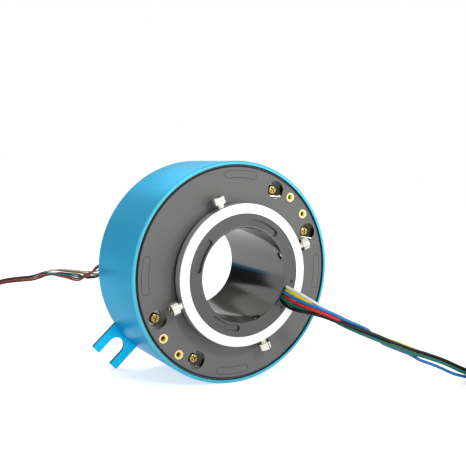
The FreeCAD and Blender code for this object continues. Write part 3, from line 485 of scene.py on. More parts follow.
rotor_wires = bundle(
    "rotor_wires", rotor_line, lie(ROTOR_STATIONS, -1.2), rotor_skins, ROTOR_WIRE
)
stator_wires = bundle(
    "stator_wires", stator_line, lie(STATOR_STATIONS, 2.0), stator_skins, STATOR_WIRE
)
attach(rotor_wires, "rotor")
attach(stator_wires, "stator")
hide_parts("rotor_leads", "rotor_lead_coil")
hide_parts("stator_leads", "stator_lead_coil")

# %% [markdown]
# ## Taking a construction piece as it is
#
# Most pieces already have their true form. Their meshes are loose triangles with knife edges,
# and a knife edge never catches light. So a copy is merged, its flat triangles are dissolved
# back into whole faces, and every sharp edge gets a bevel of a tenth of a millimetre or two,
# which is what a deburring tool or a mould leaves. A Bevel modifier would do the same, but the
# operator leaves a finished mesh that other tools can read.

# %% Dress a copy of a construction piece
# In degrees: flatter than the first is one face, sharper than the second shades as an edge.
FLAT = 0.4
SHARP = 32


def finished(name, form, body, materials, replaces=()):
    """Turns a bmesh into a shaded piece with these materials, hung from its body, hiding the nodes
    it takes the place of.
    """
    mesh = bpy.data.meshes.new(name)
    form.to_mesh(mesh)
    form.free()
    mesh.shade_smooth()
    mesh.set_sharp_from_angle(angle=math.radians(SHARP))
    for material in materials:
        mesh.materials.append(material)
    piece = placed(name, mesh)
    weighted = piece.modifiers.new("even_shading", "WEIGHTED_NORMAL")
    weighted.keep_sharp = True
    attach(piece, body)
    if replaces:
        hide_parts(*replaces)
    print(name, len(mesh.polygons), "faces")
    return piece


def merged_copy(node):
    """A copy of a construction mesh with whole faces instead of loose triangles."""
    form = bmesh.new()
    form.from_mesh(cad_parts[node].data)
    bmesh.ops.remove_doubles(form, verts=form.verts, dist=0.001 * MM)
    bmesh.ops.dissolve_limit(
        form,
        angle_limit=math.radians(FLAT),
        verts=form.verts,
        edges=form.edges,
        delimit={"NORMAL"},
    )
    return form


def soften(form, width, sharp=30, segments=2):
    """Bevels every edge where two faces meet more sharply than this."""
    edges = [
        e for e in form.edges
        if len(e.link_faces) == 2 and e.calc_face_angle(0) > math.radians(sharp)
    ]
    bmesh.ops.bevel(
        form,
        geom=edges,
        offset=width,
        offset_type="OFFSET",
        segments=segments,
        profile=0.5,
        affect="EDGES",
        clamp_overlap=True,
        material=-1,
    )


def dressed(node, body, material, width=0.12 * MM, segments=2):
    """A construction piece with softened edges and one finish."""
    form = merged_copy(node)
    soften(form, width, segments=segments)
    return finished(node + "_dressed", form, body, [material], [node])


# %% [markdown]
# ## Metals and plastics
#
# Nearly every piece was turned, and the tool leaves rings about the shaft. A one-dimensional
# noise draws them without the seam that a picture would have. Real rings lie about 0.1 mm apart,
# too fine to show here, so they are drawn 0.2 to 0.6 mm apart, as coarse as they need to show.

# %% Rings about the shaft
def shaft_rings(tree, spacing, along_axis):
    """Fine lines left by a turning tool: along the axis on a side, by radius on a face."""
    place = add_node(tree, "ShaderNodeTexCoord")
    parts = add_node(tree, "ShaderNodeSeparateXYZ", {"Vector": place.outputs["Object"]})
    flat = add_node(
        tree,
        "ShaderNodeCombineXYZ",
        {"X": parts.outputs["X"], "Z": parts.outputs["Z"]},
    )
    radius = add_node(tree, "ShaderNodeVectorMath", {0: flat.outputs[0]}, operation="LENGTH")
    line = parts.outputs["Y"] if along_axis else radius.outputs["Value"]
    squeezed = add_node(tree, "ShaderNodeMath", {0: line, 1: 1 / spacing}, operation="MULTIPLY")
    return add_node(
        tree,
        "ShaderNodeTexNoise",
        {"W": squeezed.outputs[0], "Scale": 1.0, "Detail": 2.0},
        noise_dimensions="1D",
    ), place


# %% A machined surface
# Patches of about 17 mm, as handling leaves them.
CLOUD_SCALE = 60.0
RING_HEIGHT = 0.02 * MM


def machined(name, code, roughness, spacing, along_axis, bump=0.15, **values):
    """Metal or hard plastic off a lathe: rings move its roughness a little and its surface less."""
    material, tree, shader = new_material(name, Base_Color=linear(code), **values)
    rings, place = shaft_rings(tree, spacing, along_axis)
    cloud = noise(tree, place, CLOUD_SCALE)
    both = add_node(
        tree,
        "ShaderNodeMath",
        {0: rings.outputs["Fac"], 1: cloud.outputs["Fac"]},
        operation="ADD",
    )
    spread = add_node(
        tree,
        "ShaderNodeMapRange",
        {
            "Value": both.outputs[0],
            "From Min": 0.6,
            "From Max": 1.4,
            "To Min": roughness * 0.85,
            "To Max": roughness * 1.2,
        },
    )
    tree.links.new(spread.outputs["Result"], shader.inputs["Roughness"])
    height = add_node(
        tree,
        "ShaderNodeBump",
        {"Height": rings.outputs["Fac"], "Strength": bump, "Distance": RING_HEIGHT},
    )
    tree.links.new(height.outputs["Normal"], shader.inputs["Normal"])
    return material


# %% [markdown]
# ### Blue anodised aluminium
#
# Anodised aluminium is metal seen through a thin, hard, dyed oxide. Paint would keep its
# highlights white, but here they are blue, so the finish is a coloured metal. The side has the
# plain dyed colour. The rims and the tab are copies of it in a lighter blue, painted highlight for
# the light they catch, and the sawn edges are a darker copy, painted shade.

# %% Blues
# Turned side: satin, with long soft bands of light, paler where it turns away from the eye.
blue_side = machined(
    "blue_anodised_side", "#1F93BC", 0.36, 0.5 * MM, True, Metallic=1.0,
    Specular_Tint=linear("#C4E6F2"), Coat_Weight=0.1, Coat_Roughness=0.25,
)
# Rolled plate: smoother, and a lighter, purer blue that is painted highlight for the light it
# catches.
blue_lit_tab = machined("blue_anodised_lit_tab", "#1CC0EC", 0.3, 0.5 * MM, True, Metallic=1.0)
# Sawn edges: rough, and a near-black blue that is painted shade on the faces turned from the light.
blue_shaded_edge = machined("blue_anodised_shaded_edge", "#0A5C70", 0.4, 0.3 * MM, True, Metallic=1.0)
# Faced rims: a paler blue all the way round the cap, painted highlight for the light the rims
# catch.
blue_lit_rim = machined(
    "blue_anodised_lit_rim", "#4CACC2", 0.34, 0.3 * MM, False, bump=0.05, Metallic=1.0
)
print("four blues")

# %% [markdown]
# ### Black anodised aluminium
#
# The black oxide hides the metal under a dark glassy skin, so these finishes aren't metallic,
# apart from the wells. They are as glossy as the metal was smooth before it was dyed.

# %% Blacks
# Blasted faces: an even dark grey with no clear reflection.
black_satin = machined("black_anodised_satin", "#656564", 0.5, 0.35 * MM, False, IOR=1.6)
# Edges, grooves, slot walls and the guide ring's shoulder: cut smooth, with a faint shine. Their
# near-black colour also paints in the shade in the cap's edge groove and under the collar.
black_gloss_and_shade = machined(
    "black_anodised_gloss_and_shade", "#131516", 0.36, 0.3 * MM, True, bump=0.03, IOR=1.6
)
# Wells: the cutter leaves a dark mirror, in which a lamp shows as a hard white glint.
well_cut = machined(
    "black_anodised_well", "#7C7D78", 0.12, 0.3 * MM, True, bump=0.03, Metallic=1.0
)
# Bore: honed and sealed. Its high IOR gives the strong bands that the real one mirrors.
black_bore = machined(
    "black_anodised_bore", "#121213", 0.12, 0.4 * MM, True, bump=0.05, IOR=1.9
)
print("four blacks")

# %% [markdown]
# ### Bare and plated metals
#
# A metal is seen by its reflections alone, so these differ in the tint of their reflections and
# in how far they blur.

# %% Metals
# Faced bare aluminium: a broad white sheen without a clear image.
collar_aluminium = machined("turned_aluminium", "#E9EBEC", 0.3, 0.3 * MM, False, Metallic=1.0)
# Bright nickel on steel: a warm white mirror.
nickel = machined("nickel_plated_steel", "#E2DFD6", 0.1, 0.4 * MM, True, Metallic=1.0)
# Dull nickel on the smallest screws, darkened to a grey as painted shade, so it hardly shows
# against the black ring.
dull_shaded_nickel = machined("dull_shaded_nickel_plate", "#5A5854", 0.45, 0.4 * MM, True, Metallic=1.0)
# Yellow zinc on steel: a brownish gold mirror, darkened as painted shade for the deep wells.
zinc = machined("yellow_zinc_steel", "#A08A58", 0.14, 0.4 * MM, True, Metallic=1.0)
# Turned brass: pale gold with soft highlights.
brass = machined("brass_insert", "#EBD792", 0.22, 0.3 * MM, False, Metallic=1.0)
# Ground bearing steel: a clean cool grey.
bearing_steel = machined("bearing_steel", "#C6C8CA", 0.2, 0.3 * MM, False, Metallic=1.0)
# Hardened spring steel: darker and duller than ground steel.
spring_steel = machined("spring_steel", "#8E8F90", 0.3, 0.3 * MM, False, Metallic=1.0)
# Gold on brass, for contacts that never tarnish: a deep yellow mirror.
gold = machined("gold_plated_brass", "#E8C15A", 0.18, 0.2 * MM, False, Metallic=1.0)
print("eight metals")

# %% [markdown]
# ### Plastics and rubber
#
# A plastic has its colour under a clear surface, so its highlights stay white. Moulded ones use
# the same helper, because a mould copies the rings of the tool that cut it.

# %% Plastics and rubber
# Turned black nylon: dark grey with a soft sheen.
guide_nylon = machined("black_nylon_turned", "#4E4F4E", 0.34, 0.3 * MM, False, IOR=1.53)
# Natural nylon: ivory and half matt.
natural_nylon = machined("natural_nylon", "#E6E0CF", 0.45, 0.5 * MM, True, IOR=1.53)
# Moulded insulating resin: an even cream.
cream = machined("cream_insulation", "#E4D8B8", 0.42, 0.5 * MM, False, IOR=1.55)
# Phenolic laminate: warm brown, with a shine that varies from layer to layer.
phenolic = machined("brown_phenolic", "#5B3620", 0.4, 0.6 * MM, True, IOR=1.6)
# Soft rubber: matt black with a slightly uneven skin.
rubber = machined("black_rubber", "#1A1A1A", 0.7, 0.6 * MM, False, bump=0.3, IOR=1.52)
# Moulded black nylon: a little glossier than the rubber.
tie_nylon = machined("black_tie_nylon", "#1B1B1C", 0.42, 0.5 * MM, False, IOR=1.53)
print(len(bpy.data.materials), "materials in all")

# %% [markdown]
# ## Pieces that keep their own form
#
# ### The housing
#
# The housing is one turned tube with a faced rim at each end. It could be cut at its rims, but
# the real one doesn't come apart there, so the faces of the rims get a second material instead.
# That material is a paler blue, painted highlight for the light the rims catch.

# %% Housing
FACING = 0.3
RIM_DEPTH = 0.6 * MM


def looks_along(face):
    """Whether a face looks along the shaft rather than sideways."""
    return abs(face.normal.y) > FACING


form = merged_copy("housing")
soften(form, 0.15 * MM)
back_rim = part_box("housing")[1][1]
for face in form.faces:
    depth = face.calc_center_median().y
    near_rim = depth < RIM_DEPTH or depth > back_rim - RIM_DEPTH
    # Rim faces take the paler blue, a painted highlight.
    face.material_index = int(near_rim and looks_along(face))
finished(
    "housing_dressed", form, "stator", [blue_side, blue_lit_rim], ["housing"]
)

# %% [markdown]
# ### End caps, covers and grommet
#
# A cap is turned, blasted and dyed black. The wells of its screws and the chamfer and groove at
# its edge are cut with a smooth tool, so they shine. The chamfer and groove are also given a
# near-black colour that paints in the shade of the groove. Each face is given its finish by its
# place: down in a well, beyond the edge, or on the blasted front. The slot covers are plastic
# with the same satin look, and the grommet is a rubber nose where the stator's leads come out.

# %% Caps, covers and grommet
SCREW_CIRCLE = 50 * MM
SCREW_ANGLES = [middle + side * 18.75 for middle in (45, 225) for side in (-1, 1)]
WELL_RADIUS = 4.9 * MM
WELL_DEPTH = 5 * MM
WELL_EDGE = 0.08 * MM
WELL_SLACK = 0.1 * MM
CAP_BACK = 48.4 * MM
CAP_EDGE = 56.3 * MM


def on_circle(radius, angle, y):
    """A point about the shaft, at an angle in degrees from +X towards +Z."""
    turn = math.radians(angle)
    return Vector((radius * math.cos(turn), y, radius * math.sin(turn)))


def capped(node, face_y, inward):
    """An end cap: satin in front, glossy near black beyond its edge (partly painted shade) and a
    dark mirror in its wells.
    """
    form = merged_copy(node)
    soften(form, 0.14 * MM)
    spots = [on_circle(SCREW_CIRCLE, angle, 0) for angle in SCREW_ANGLES]
    for face in form.faces:
        middle = face.calc_center_median()
        depth = (middle.y - face_y) * inward
        level = Vector((middle.x, 0, middle.z))
        nearest = min((level - spot).length for spot in spots)
        deep = WELL_EDGE < depth < WELL_DEPTH + WELL_SLACK
        in_well = deep and nearest < WELL_RADIUS + WELL_SLACK
        face.material_index = 2 if in_well else int(level.length > CAP_EDGE)
    return finished(
        node + "_dressed", form, "stator",
        [black_satin, black_gloss_and_shade, well_cut], [node],
    )


capped("front_end_cap", 0, 1)
capped("rear_end_cap", CAP_BACK, -1)
for node in ("front_opening_covers", "rear_opening_covers"):
    dressed(node, "stator", black_satin, 0.1 * MM)
dressed("lead_grommet", "stator", rubber, 0.25 * MM, 3)

# %% [markdown]
# ### The anti-rotation tab
#
# The tab is sawn from rolled plate and then dyed. Its broad faces get a lighter blue as painted
# highlight and its sawn edges a darker one as painted shade, which is how the eye reads its
# thickness.

# %% Tab
form = merged_copy("anti_rotation_tab")
soften(form, 0.2 * MM)
for face in form.faces:
    # Broad faces take the lighter blue (painted highlight), edges the darker one (painted shade).
    face.material_index = int(not looks_along(face))
finished(
    "anti_rotation_tab_dressed", form, "stator",
    [blue_lit_tab, blue_shaded_edge], ["anti_rotation_tab"],
)

# %% [markdown]
# ### Collar and wire guide ring
#
# The collar is a plain faced ring. The guide ring inside it is turned from black nylon, with a
# smooth shoulder and smooth slots. The shoulder and the slot walls take the glossy near black,
# which also paints in the shade under the collar. Thin webs close the three slots that no lead
# uses. A web could be cut from a ring, but spinning its small section through the slot's arc is
# simpler.

# %% Collar, guide ring and webs
SHOULDER_REACH, SHOULDER_FRONT = 36 * MM, -3.3 * MM
SLOT_INSIDE, SLOT_OUTSIDE = 25.5 * MM, 30.2 * MM
WEB_ANGLES = (67.5, 157.5, 247.5)
WEB_ARC = 38
WEB_MIDDLE, WEB_WIDTH = 27.9 * MM, 3.8 * MM
WEB_PLACE, WEB_THICKNESS = -6.8 * MM, 1 * MM


def slot_web(form, angle):
    """Closes the slot that has its middle at this angle."""
    web = bmesh.ops.create_grid(form, x_segments=1, y_segments=1, size=0.5)["verts"]
    bmesh.ops.scale(form, verts=web, vec=(WEB_WIDTH, WEB_THICKNESS, 1))
    bmesh.ops.translate(form, verts=web, vec=(WEB_MIDDLE, WEB_PLACE, 0))
    start = Matrix.Rotation(math.radians(WEB_ARC / 2 - angle), 3, "Y")
    bmesh.ops.rotate(form, verts=web, cent=(0, 0, 0), matrix=start)
    edges = {e for v in web for e in v.link_edges}
    bmesh.ops.spin(
        form,
        geom=[*web, *edges, *web[0].link_faces],
        cent=(0, 0, 0),
        axis=(0, -1, 0),
        angle=math.radians(WEB_ARC),
        steps=16,
        use_merge=False,
        use_duplicate=False,
    )


dressed("shaft_collar", "rotor", collar_aluminium)
form = merged_copy("wire_guide_ring")
soften(form, 0.12 * MM)
for face in form.faces:
    middle = face.calc_center_median()
    reach = math.hypot(middle.x, middle.z)
    shoulder = reach > SHOULDER_REACH and middle.y > SHOULDER_FRONT
    slot_wall = SLOT_INSIDE < reach < SLOT_OUTSIDE and not looks_along(face)
    # Shoulder and slot walls: glossy near black, partly painted shade under the collar.
    face.material_index = int(shoulder or slot_wall)
for angle in WEB_ANGLES:
    slot_web(form, angle)
bmesh.ops.recalc_face_normals(form, faces=form.faces)
finished(
    "wire_guide_ring_dressed", form, "rotor", [guide_nylon, black_gloss_and_shade],
    ["wire_guide_ring"],
)

# %% [markdown]
# ### The rotor tube
#
# The tube is honed inside and dyed black. Its front inner edge was broken after dyeing, so a fine
# bright line of bare metal runs round the bore. That edge gets a wider bevel of its own first,
# with the bare metal on the new faces.

# %% Rotor tube
TUBE_FRONT = -8.4 * MM
BORE_EDGE = 25.1 * MM
form = merged_copy("rotor_tube")
front_edge = [
    e for e in form.edges
    if all(v.co.y < TUBE_FRONT and math.hypot(v.co.x, v.co.z) < BORE_EDGE for v in e.verts)
]
bared = bmesh.ops.bevel(
    form,
    geom=front_edge,
    offset=0.35 * MM,
    offset_type="OFFSET",
    segments=1,
    profile=0.5,
    affect="EDGES",
    material=-1,
)["faces"]
for face in bared:
    face.material_index = 1
soften(form, 0.12 * MM, sharp=50)
finished(
    "rotor_tube_dressed", form, "rotor",
    [black_bore, collar_aluminium], ["rotor_tube"],
)

# %% [markdown]
# ## Screws and inserts
#
# A small screw is a stack of rings: its outline seen from above changes from ring to ring, from
# the round side to the softened edge, the hexagon of the socket and its floor. So one helper
# starts with a circle and extrudes it from ring to ring; each ring only says how high it lies
# and how far out it is at each angle. The thread is a small triangle that a screw-like spin
# carries round the shank, with a step along the axis for each step of the turn.

# %% Rings, outlines and thread
def ringed(form, rings, segments, closed=False):
    """Extrudes a circle from ring to ring, each a height and a radius or a rule for it.

    The two ends are filled, or joined to each other in a closed form.
    """
    start = bmesh.ops.create_circle(form, cap_ends=False, radius=1, segments=segments)
    loop = list({e for v in start["verts"] for e in v.link_edges})
    directions = {v: v.co.normalized() for v in start["verts"]}
    for number, (height, radius) in enumerate(rings):
        if number:
            made = bmesh.ops.extrude_edge_only(form, edges=loop)["geom"]
            loop = [e for e in made if isinstance(e, bmesh.types.BMEdge)]
            verts = {v for v in made if isinstance(v, bmesh.types.BMVert)}
            directions = {v: Vector((v.co.x, v.co.y, 0)).normalized() for v in verts}
        for vert, out in directions.items():
            reach = radius(math.atan2(out.y, out.x)) if callable(radius) else radius
            vert.co = out * reach + Vector((0, 0, height))
    if closed:
        bmesh.ops.remove_doubles(form, verts=form.verts, dist=0.001 * MM)
    else:
        bmesh.ops.holes_fill(form, edges=form.edges, sides=segments)
    bmesh.ops.recalc_face_normals(form, faces=form.faces)


def hexagon(half_width):
    """The outline of a hexagon socket, as a reach for each angle."""
    sector = math.pi / 3
    return lambda turn: half_width / math.cos((turn % sector) - sector / 2)


def cross(reach, half_width):
    """The outline of a cross recess, whose arms taper to round ends."""
    quarter = math.pi / 2

    def radius(turn):
        turn = abs((turn + quarter / 2) % quarter - quarter / 2)
        if math.tan(turn) <= half_width / reach:
            return reach
        return half_width / math.sin(turn)

    return radius


def thread(form, root, crest, pitch, start, end, steps=20):
    """A triangular ridge wound about the Z axis from start down to end."""
    profile = bmesh.new()
    corners = [
        profile.verts.new((root * 0.96, 0, start)),
        profile.verts.new((crest, 0, start - pitch * 0.5)),
        profile.verts.new((root * 0.96, 0, start - pitch * 0.96)),
    ]
    ends = [profile.edges.new((corners[i], corners[i - 1])) for i in range(3)]
    turns = (start - end) / pitch - 1
    bmesh.ops.spin(
        profile,
        geom=corners + ends,
        cent=(0, 0, 0),
        axis=(0, 0, 1),
        dvec=(0, 0, -pitch / steps),
        angle=2 * math.pi * turns,
        steps=round(steps * turns),
        use_merge=False,
        use_duplicate=False,
    )
    bmesh.ops.holes_fill(profile, edges=profile.edges, sides=3)
    bmesh.ops.recalc_face_normals(profile, faces=profile.faces)
    mesh = bpy.data.meshes.new("thread")
    profile.to_mesh(mesh)
    profile.free()
    form.from_mesh(mesh)
    bpy.data.meshes.remove(mesh)


def standing(point, outward, turn=0.0):
    """Carries something built along +Z to a point, with its head facing outward."""
    aim = Vector((0, 0, 1)).rotation_difference(Vector(outward)).to_matrix().to_4x4()
    return Matrix.Translation(point) @ aim @ Matrix.Rotation(math.radians(turn), 4, "Z")


def repeated(form, places):
    """The same form at each place, in one bmesh."""
    mesh = bpy.data.meshes.new("form")
    form.to_mesh(mesh)
    form.free()
    group = bmesh.new()
    for place in places:
        copy = mesh.copy()
        copy.transform(place)
        group.from_mesh(copy)
        bpy.data.meshes.remove(copy)
    bpy.data.meshes.remove(mesh)
    return group


# %% [markdown]
# ### Clamp screws
#
# Four M4 socket head screws reach through the collar and the tube to the shaft. Each is one ring
# profile and a wound thread, built upright and then carried to its place. Their sockets are
# turned differently, as those of tightened screws are.

# %% Clamp screws
CLAMP_SEAT = 39.9 * MM
CLAMP_Y = -5.7 * MM
CLAMP_ANGLES = (22.5, 112.5, 202.5, 292.5)


def socket_head(head_radius, height, half_socket, depth, shank, length):
    """A screw with a hexagon socket, its seat at the origin and its head up."""
    form = bmesh.new()
    edge = 0.12 * head_radius
    rings = [
        (-length, shank * 0.62), (-length + shank * 0.3, shank * 0.92), (0, shank * 0.92),
        (0, head_radius - edge * 0.6), (edge * 0.5, head_radius),
        (height - edge * 1.2, head_radius), (height - edge * 0.9, head_radius - edge * 0.2),
        (height - edge * 0.3, head_radius - edge * 0.6), (height, head_radius - edge * 1.4),
        (height, half_socket * 1.3), (height - 0.12 * half_socket, hexagon(half_socket)),
        (height - depth, hexagon(half_socket * 0.98)),
        (height - depth - 0.35 * half_socket, 0.02 * half_socket),
    ]
    ringed(form, rings, segments=96)
    return form


for number, angle in enumerate(CLAMP_ANGLES, start=1):
    form = socket_head(
        head_radius=3.5 * MM, height=4 * MM, half_socket=1.5 * MM, depth=2 * MM,
        shank=2 * MM, length=14 * MM,
    )
    thread(form, root=1.84 * MM, crest=2 * MM, pitch=0.7 * MM, start=-0.4 * MM, end=-13.2 * MM)
    place = standing(on_circle(CLAMP_SEAT, angle, CLAMP_Y), on_circle(1, angle, 0), 11 * number)
    finished(
        f"clamp_screw_{number}_dressed", repeated(form, [place]), "rotor",
        [nickel], [f"clamp_screw_{number}"],
    )

# %% [markdown]
# ### Cap screws
#
# The caps are held by M3 screws with a low rounded head and a cross recess. The recess is two
# more rings of the same helper, cross-shaped above and smaller below, so no cutting is needed.

# %% Cap screws in their wells
# Height above the seat and radius, in millimetres, from the tip to the top of the head.
PAN_PROFILE = [
    (-12, 0.9), (-11.6, 1.38), (0, 1.38), (0, 2.7), (0.15, 2.8),
    (1.5, 2.75), (1.95, 2.6), (2.25, 2.3), (2.37, 2.0), (2.4, 1.85),
]
PAN_HEIGHT = 2.4 * MM


def pan_head():
    """A pan-head screw with a cross recess, its seat at the origin and its head up."""
    form = bmesh.new()
    rings = [(height * MM, radius * MM) for height, radius in PAN_PROFILE]
    rings.append((PAN_HEIGHT, cross(1.7 * MM, 0.35 * MM)))
    rings.append((1.5 * MM, cross(0.9 * MM, 0.3 * MM)))
    rings.append((1.1 * MM, 0.05 * MM))
    ringed(form, rings, segments=96)
    return form


ends = (("front", WELL_DEPTH, (0, -1, 0)), ("rear", CAP_BACK - WELL_DEPTH, (0, 1, 0)))
for end, seat, outward in ends:
    spots = [
        standing(on_circle(SCREW_CIRCLE, angle, seat), outward, 37 * number)
        for number, angle in enumerate(SCREW_ANGLES)
    ]
    # The zinc of these heads is darkened as painted shade for the wells they sit in.
    finished(
        f"{end}_cap_screws_dressed", repeated(pan_head(), spots), "stator",
        [zinc], [f"{end}_cap_screws"],
    )

# %% [markdown]
# ### Threaded inserts
#
# Four brass bushes with an M3 thread stand in each cap, for the customer's bracket or the tab.
# The mouth of the thread is what shows. Its ridges are plain rings, which are simpler than a
# wound thread and can hardly be told from one in so small a hole.

# %% Threaded inserts
INSERT_CIRCLE = 52.3 * MM
INSERT_ANGLES = [middle + side * 7 for middle in (45, 225) for side in (-1, 1)]
INSERT_LENGTH = 6 * MM
INSERT_RADIUS = 2.5 * MM
INSERT_BORE = 1.25 * MM
THREAD_BOTTOM = 1.16 * INSERT_BORE
RIDGES = 11
RIDGE_PITCH = 0.5 * MM


def insert():
    """A brass bush with a softened face, its bore lined with the ridges of its thread."""
    form = bmesh.new()
    ridges = []
    for number in range(RIDGES):
        top = -0.45 * MM - number * RIDGE_PITCH
        ridges += [(top, INSERT_BORE), (top - RIDGE_PITCH / 2, THREAD_BOTTOM)]
    rings = [
        (-INSERT_LENGTH, INSERT_RADIUS * 0.9), (-INSERT_LENGTH + 0.2 * MM, INSERT_RADIUS),
        (-0.12 * MM, INSERT_RADIUS), (-0.02 * MM, INSERT_RADIUS - 0.12 * MM),
        (-0.02 * MM, INSERT_BORE + 0.45 * MM), (-0.3 * MM, THREAD_BOTTOM), *ridges,
        (-INSERT_LENGTH, INSERT_BORE * 1.1), (-INSERT_LENGTH, INSERT_RADIUS * 0.9),
    ]
    ringed(form, rings, segments=48, closed=True)
    return form


for end, face_y, outward in (("front", 0, (0, -1, 0)), ("rear", CAP_BACK, (0, 1, 0))):
    spots = [standing(on_circle(INSERT_CIRCLE, angle, face_y), outward) for angle in INSERT_ANGLES]
    finished(
        f"{end}_inserts_dressed", repeated(insert(), spots), "stator",
        [brass], [f"{end}_inserts"],
    )

# %% [markdown]
# ### Tab screws and guide screws
#
# Two short socket head screws hold the tab on the rear inserts. Two tiny grub screws stand flush
# in the guide ring beside the lead outlet, so only their ends show, as small dark dots. Their
# dark colour is painted shade.

# %% Tab screws and guide screws
TAB_BACK = CAP_BACK + 2.5 * MM
tab_spots = [
    standing(on_circle(INSERT_CIRCLE, angle, TAB_BACK), (0, 1, 0), turn)
    for angle, turn in zip(INSERT_ANGLES[2:], (40, 320))
]
form = socket_head(
    head_radius=2.75 * MM, height=2 * MM, half_socket=1 * MM, depth=1 * MM,
    shank=1.25 * MM, length=8 * MM,
)
finished(
    "tab_screws_dressed", repeated(form, tab_spots), "stator",
    [nickel], ["tab_screws"],
)

GUIDE_SCREW_CIRCLE = 29.9 * MM
GUIDE_SCREW_SPREAD = 14.6
OUTLET_ANGLE = -22.5
ROTOR_FACE = -8.5 * MM
GUIDE_RINGS = [
    (-10.5 * MM, 0.6 * MM), (-10.2 * MM, 0.9 * MM), (-0.1 * MM, 0.9 * MM), (0, 0.8 * MM),
    (0, 0.72 * MM), (-0.05 * MM, hexagon(0.6 * MM)), (-1.3 * MM, hexagon(0.58 * MM)),
    (-1.5 * MM, 0.02 * MM),
]
form = bmesh.new()
ringed(form, GUIDE_RINGS, segments=48)
guide_spots = [
    standing(
        on_circle(GUIDE_SCREW_CIRCLE, OUTLET_ANGLE + side * GUIDE_SCREW_SPREAD, ROTOR_FACE),
        (0, -1, 0),
    )
    for side in (-1, 1)
]
finished(
    "guide_screws_dressed", repeated(form, guide_spots), "rotor",
    [dull_shaded_nickel], ["guide_screws"],
)

# %% [markdown]
# ## Ties round the coils
#
# Spare lead is delivered as a small coil held by a nylon tie. A tie is a strap bent to an oblong
# round the stacked turns, with a square lock outside. The strap is the ring helper again: its
# outline is an oblong, and its four rings go once round the section of the strap.

# %% Coil ties and cords
def oblong(half_width, half_height, corner):
    """An upright rectangle with round corners, as a reach for each angle."""

    def reach(turn):
        x, y = abs(math.cos(turn)), abs(math.sin(turn))
        flat = min(half_width / max(x, 1e-6), half_height / max(y, 1e-6))
        a, b = half_width - corner, half_height - corner
        if flat * x <= a or flat * y <= b:
            return flat
        middle = a * x + b * y
        return middle + math.sqrt(max(0.0, middle ** 2 - a * a - b * b + corner * corner))

    return reach


STRAP_THICKNESS, HALF_STRAP = 0.9 * MM, 1.3 * MM
SIDE_PLAY, TOP_PLAY = 0.35 * MM, 0.1 * MM
LOCK_SIZE = (2.4 * MM, 3.6 * MM, 4.2 * MM)
LOCK_SEAT = 0.6 * MM


def coil_tie(name, place, angle, diameter, turns, body):
    """A strap with its lock, upright round a coil's turns at an angle about its middle."""
    form = bmesh.new()
    half_width, half_height = diameter / 2 + SIDE_PLAY, diameter * turns / 2 + TOP_PLAY
    inner = oblong(half_width, half_height, diameter / 2)
    outer = oblong(
        half_width + STRAP_THICKNESS,
        half_height + STRAP_THICKNESS,
        diameter / 2 + STRAP_THICKNESS,
    )
    section = [
        (-HALF_STRAP, inner), (-HALF_STRAP, outer), (HALF_STRAP, outer), (HALF_STRAP, inner),
        (-HALF_STRAP, inner),
    ]
    ringed(form, section, segments=96, closed=True)
    lock = bmesh.ops.create_cube(form, size=1)["verts"]
    bmesh.ops.scale(form, verts=lock, vec=LOCK_SIZE)
    bmesh.ops.translate(form, verts=lock, vec=(half_width + STRAP_THICKNESS + LOCK_SEAT, 0, 0))
    soften(form, 0.2 * MM)
    turn = math.radians(angle)
    (x, y), radius = place
    spot = (
        x + radius * math.cos(turn),
        y + radius * math.sin(turn),
        FLOOR + half_height + STRAP_THICKNESS,
    )
    upright = Matrix.Rotation(turn, 4, "Z") @ Matrix.Rotation(math.radians(90), 4, "X")
    form.transform(Matrix.Translation(spot) @ upright)
    return finished(name, form, body, [tie_nylon])


rotor_tie = coil_tie("rotor_coil_tie", ROTOR_COIL, 200, ROTOR_BUNDLE, 2, "rotor")
stator_tie = coil_tie("stator_coil_tie", STATOR_COIL, 250, STATOR_BUNDLE, 3, "stator")

# %% [markdown]
# ## Inside pieces
#
# The bearings, the ring stack and the brush gear lie inside the housing. They show only in part,
# through the gap round the rotor, but they have their finishes too, so that the object can be
# taken apart. Their construction meshes are fine as they are and only get a material.

# %% Finishes of the inside pieces
INSIDE = {
    bearing_steel: [
        "front_outer_race", "rear_outer_race", "front_inner_race", "rear_inner_race",
        "front_bearing_balls", "rear_bearing_balls",
    ],
    spring_steel: ["retaining_ring"],
    gold: [f"contact_ring_{n}" for n in range(1, 7)] + ["brush_wires_1", "brush_wires_2"],
    natural_nylon: ["front_ball_cage", "rear_ball_cage"],
    cream: [f"insulator_{n}" for n in range(1, 8)],
    phenolic: ["brush_block_1", "brush_block_2"],
}
for material, nodes in INSIDE.items():
    for node in nodes:
        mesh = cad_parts[node].data
        mesh.materials.clear()
        mesh.materials.append(material)
print(sum(len(nodes) for nodes in INSIDE.values()), "inside pieces finished")

# %% [markdown]
# ## Floor, world and lamps
#
# The picture is a plain product shot on white. The floor and the world are white for what the
# camera sees, directly or in a reflection, by the Light Path node, so no lamp has to burn the
# background out. The floor still takes the object's shadow.

# %% Floor
FLOOR_HALF = 3
FLOOR_GAP = 0.01 * MM
# What the lamps leave the floor short of white.
FLOOR_GLOW = 0.62


def emptied(owner):
    """The node tree of a material or a world, without nodes."""
    owner.use_nodes = True
    owner.node_tree.nodes.clear()
    return owner.node_tree


def seen_directly(tree):
    """1 for rays from the camera, from a reflection or through glass, else 0."""
    path = add_node(tree, "ShaderNodeLightPath")
    total = add_node(
        tree,
        "ShaderNodeMath",
        {0: path.outputs["Is Camera Ray"], 1: path.outputs["Is Glossy Ray"]},
        operation="MAXIMUM",
    )
    return add_node(
        tree,
        "ShaderNodeMath",
        {0: total.outputs[0], 1: path.outputs["Is Transmission Ray"]},
        operation="MAXIMUM",
    ).outputs[0]


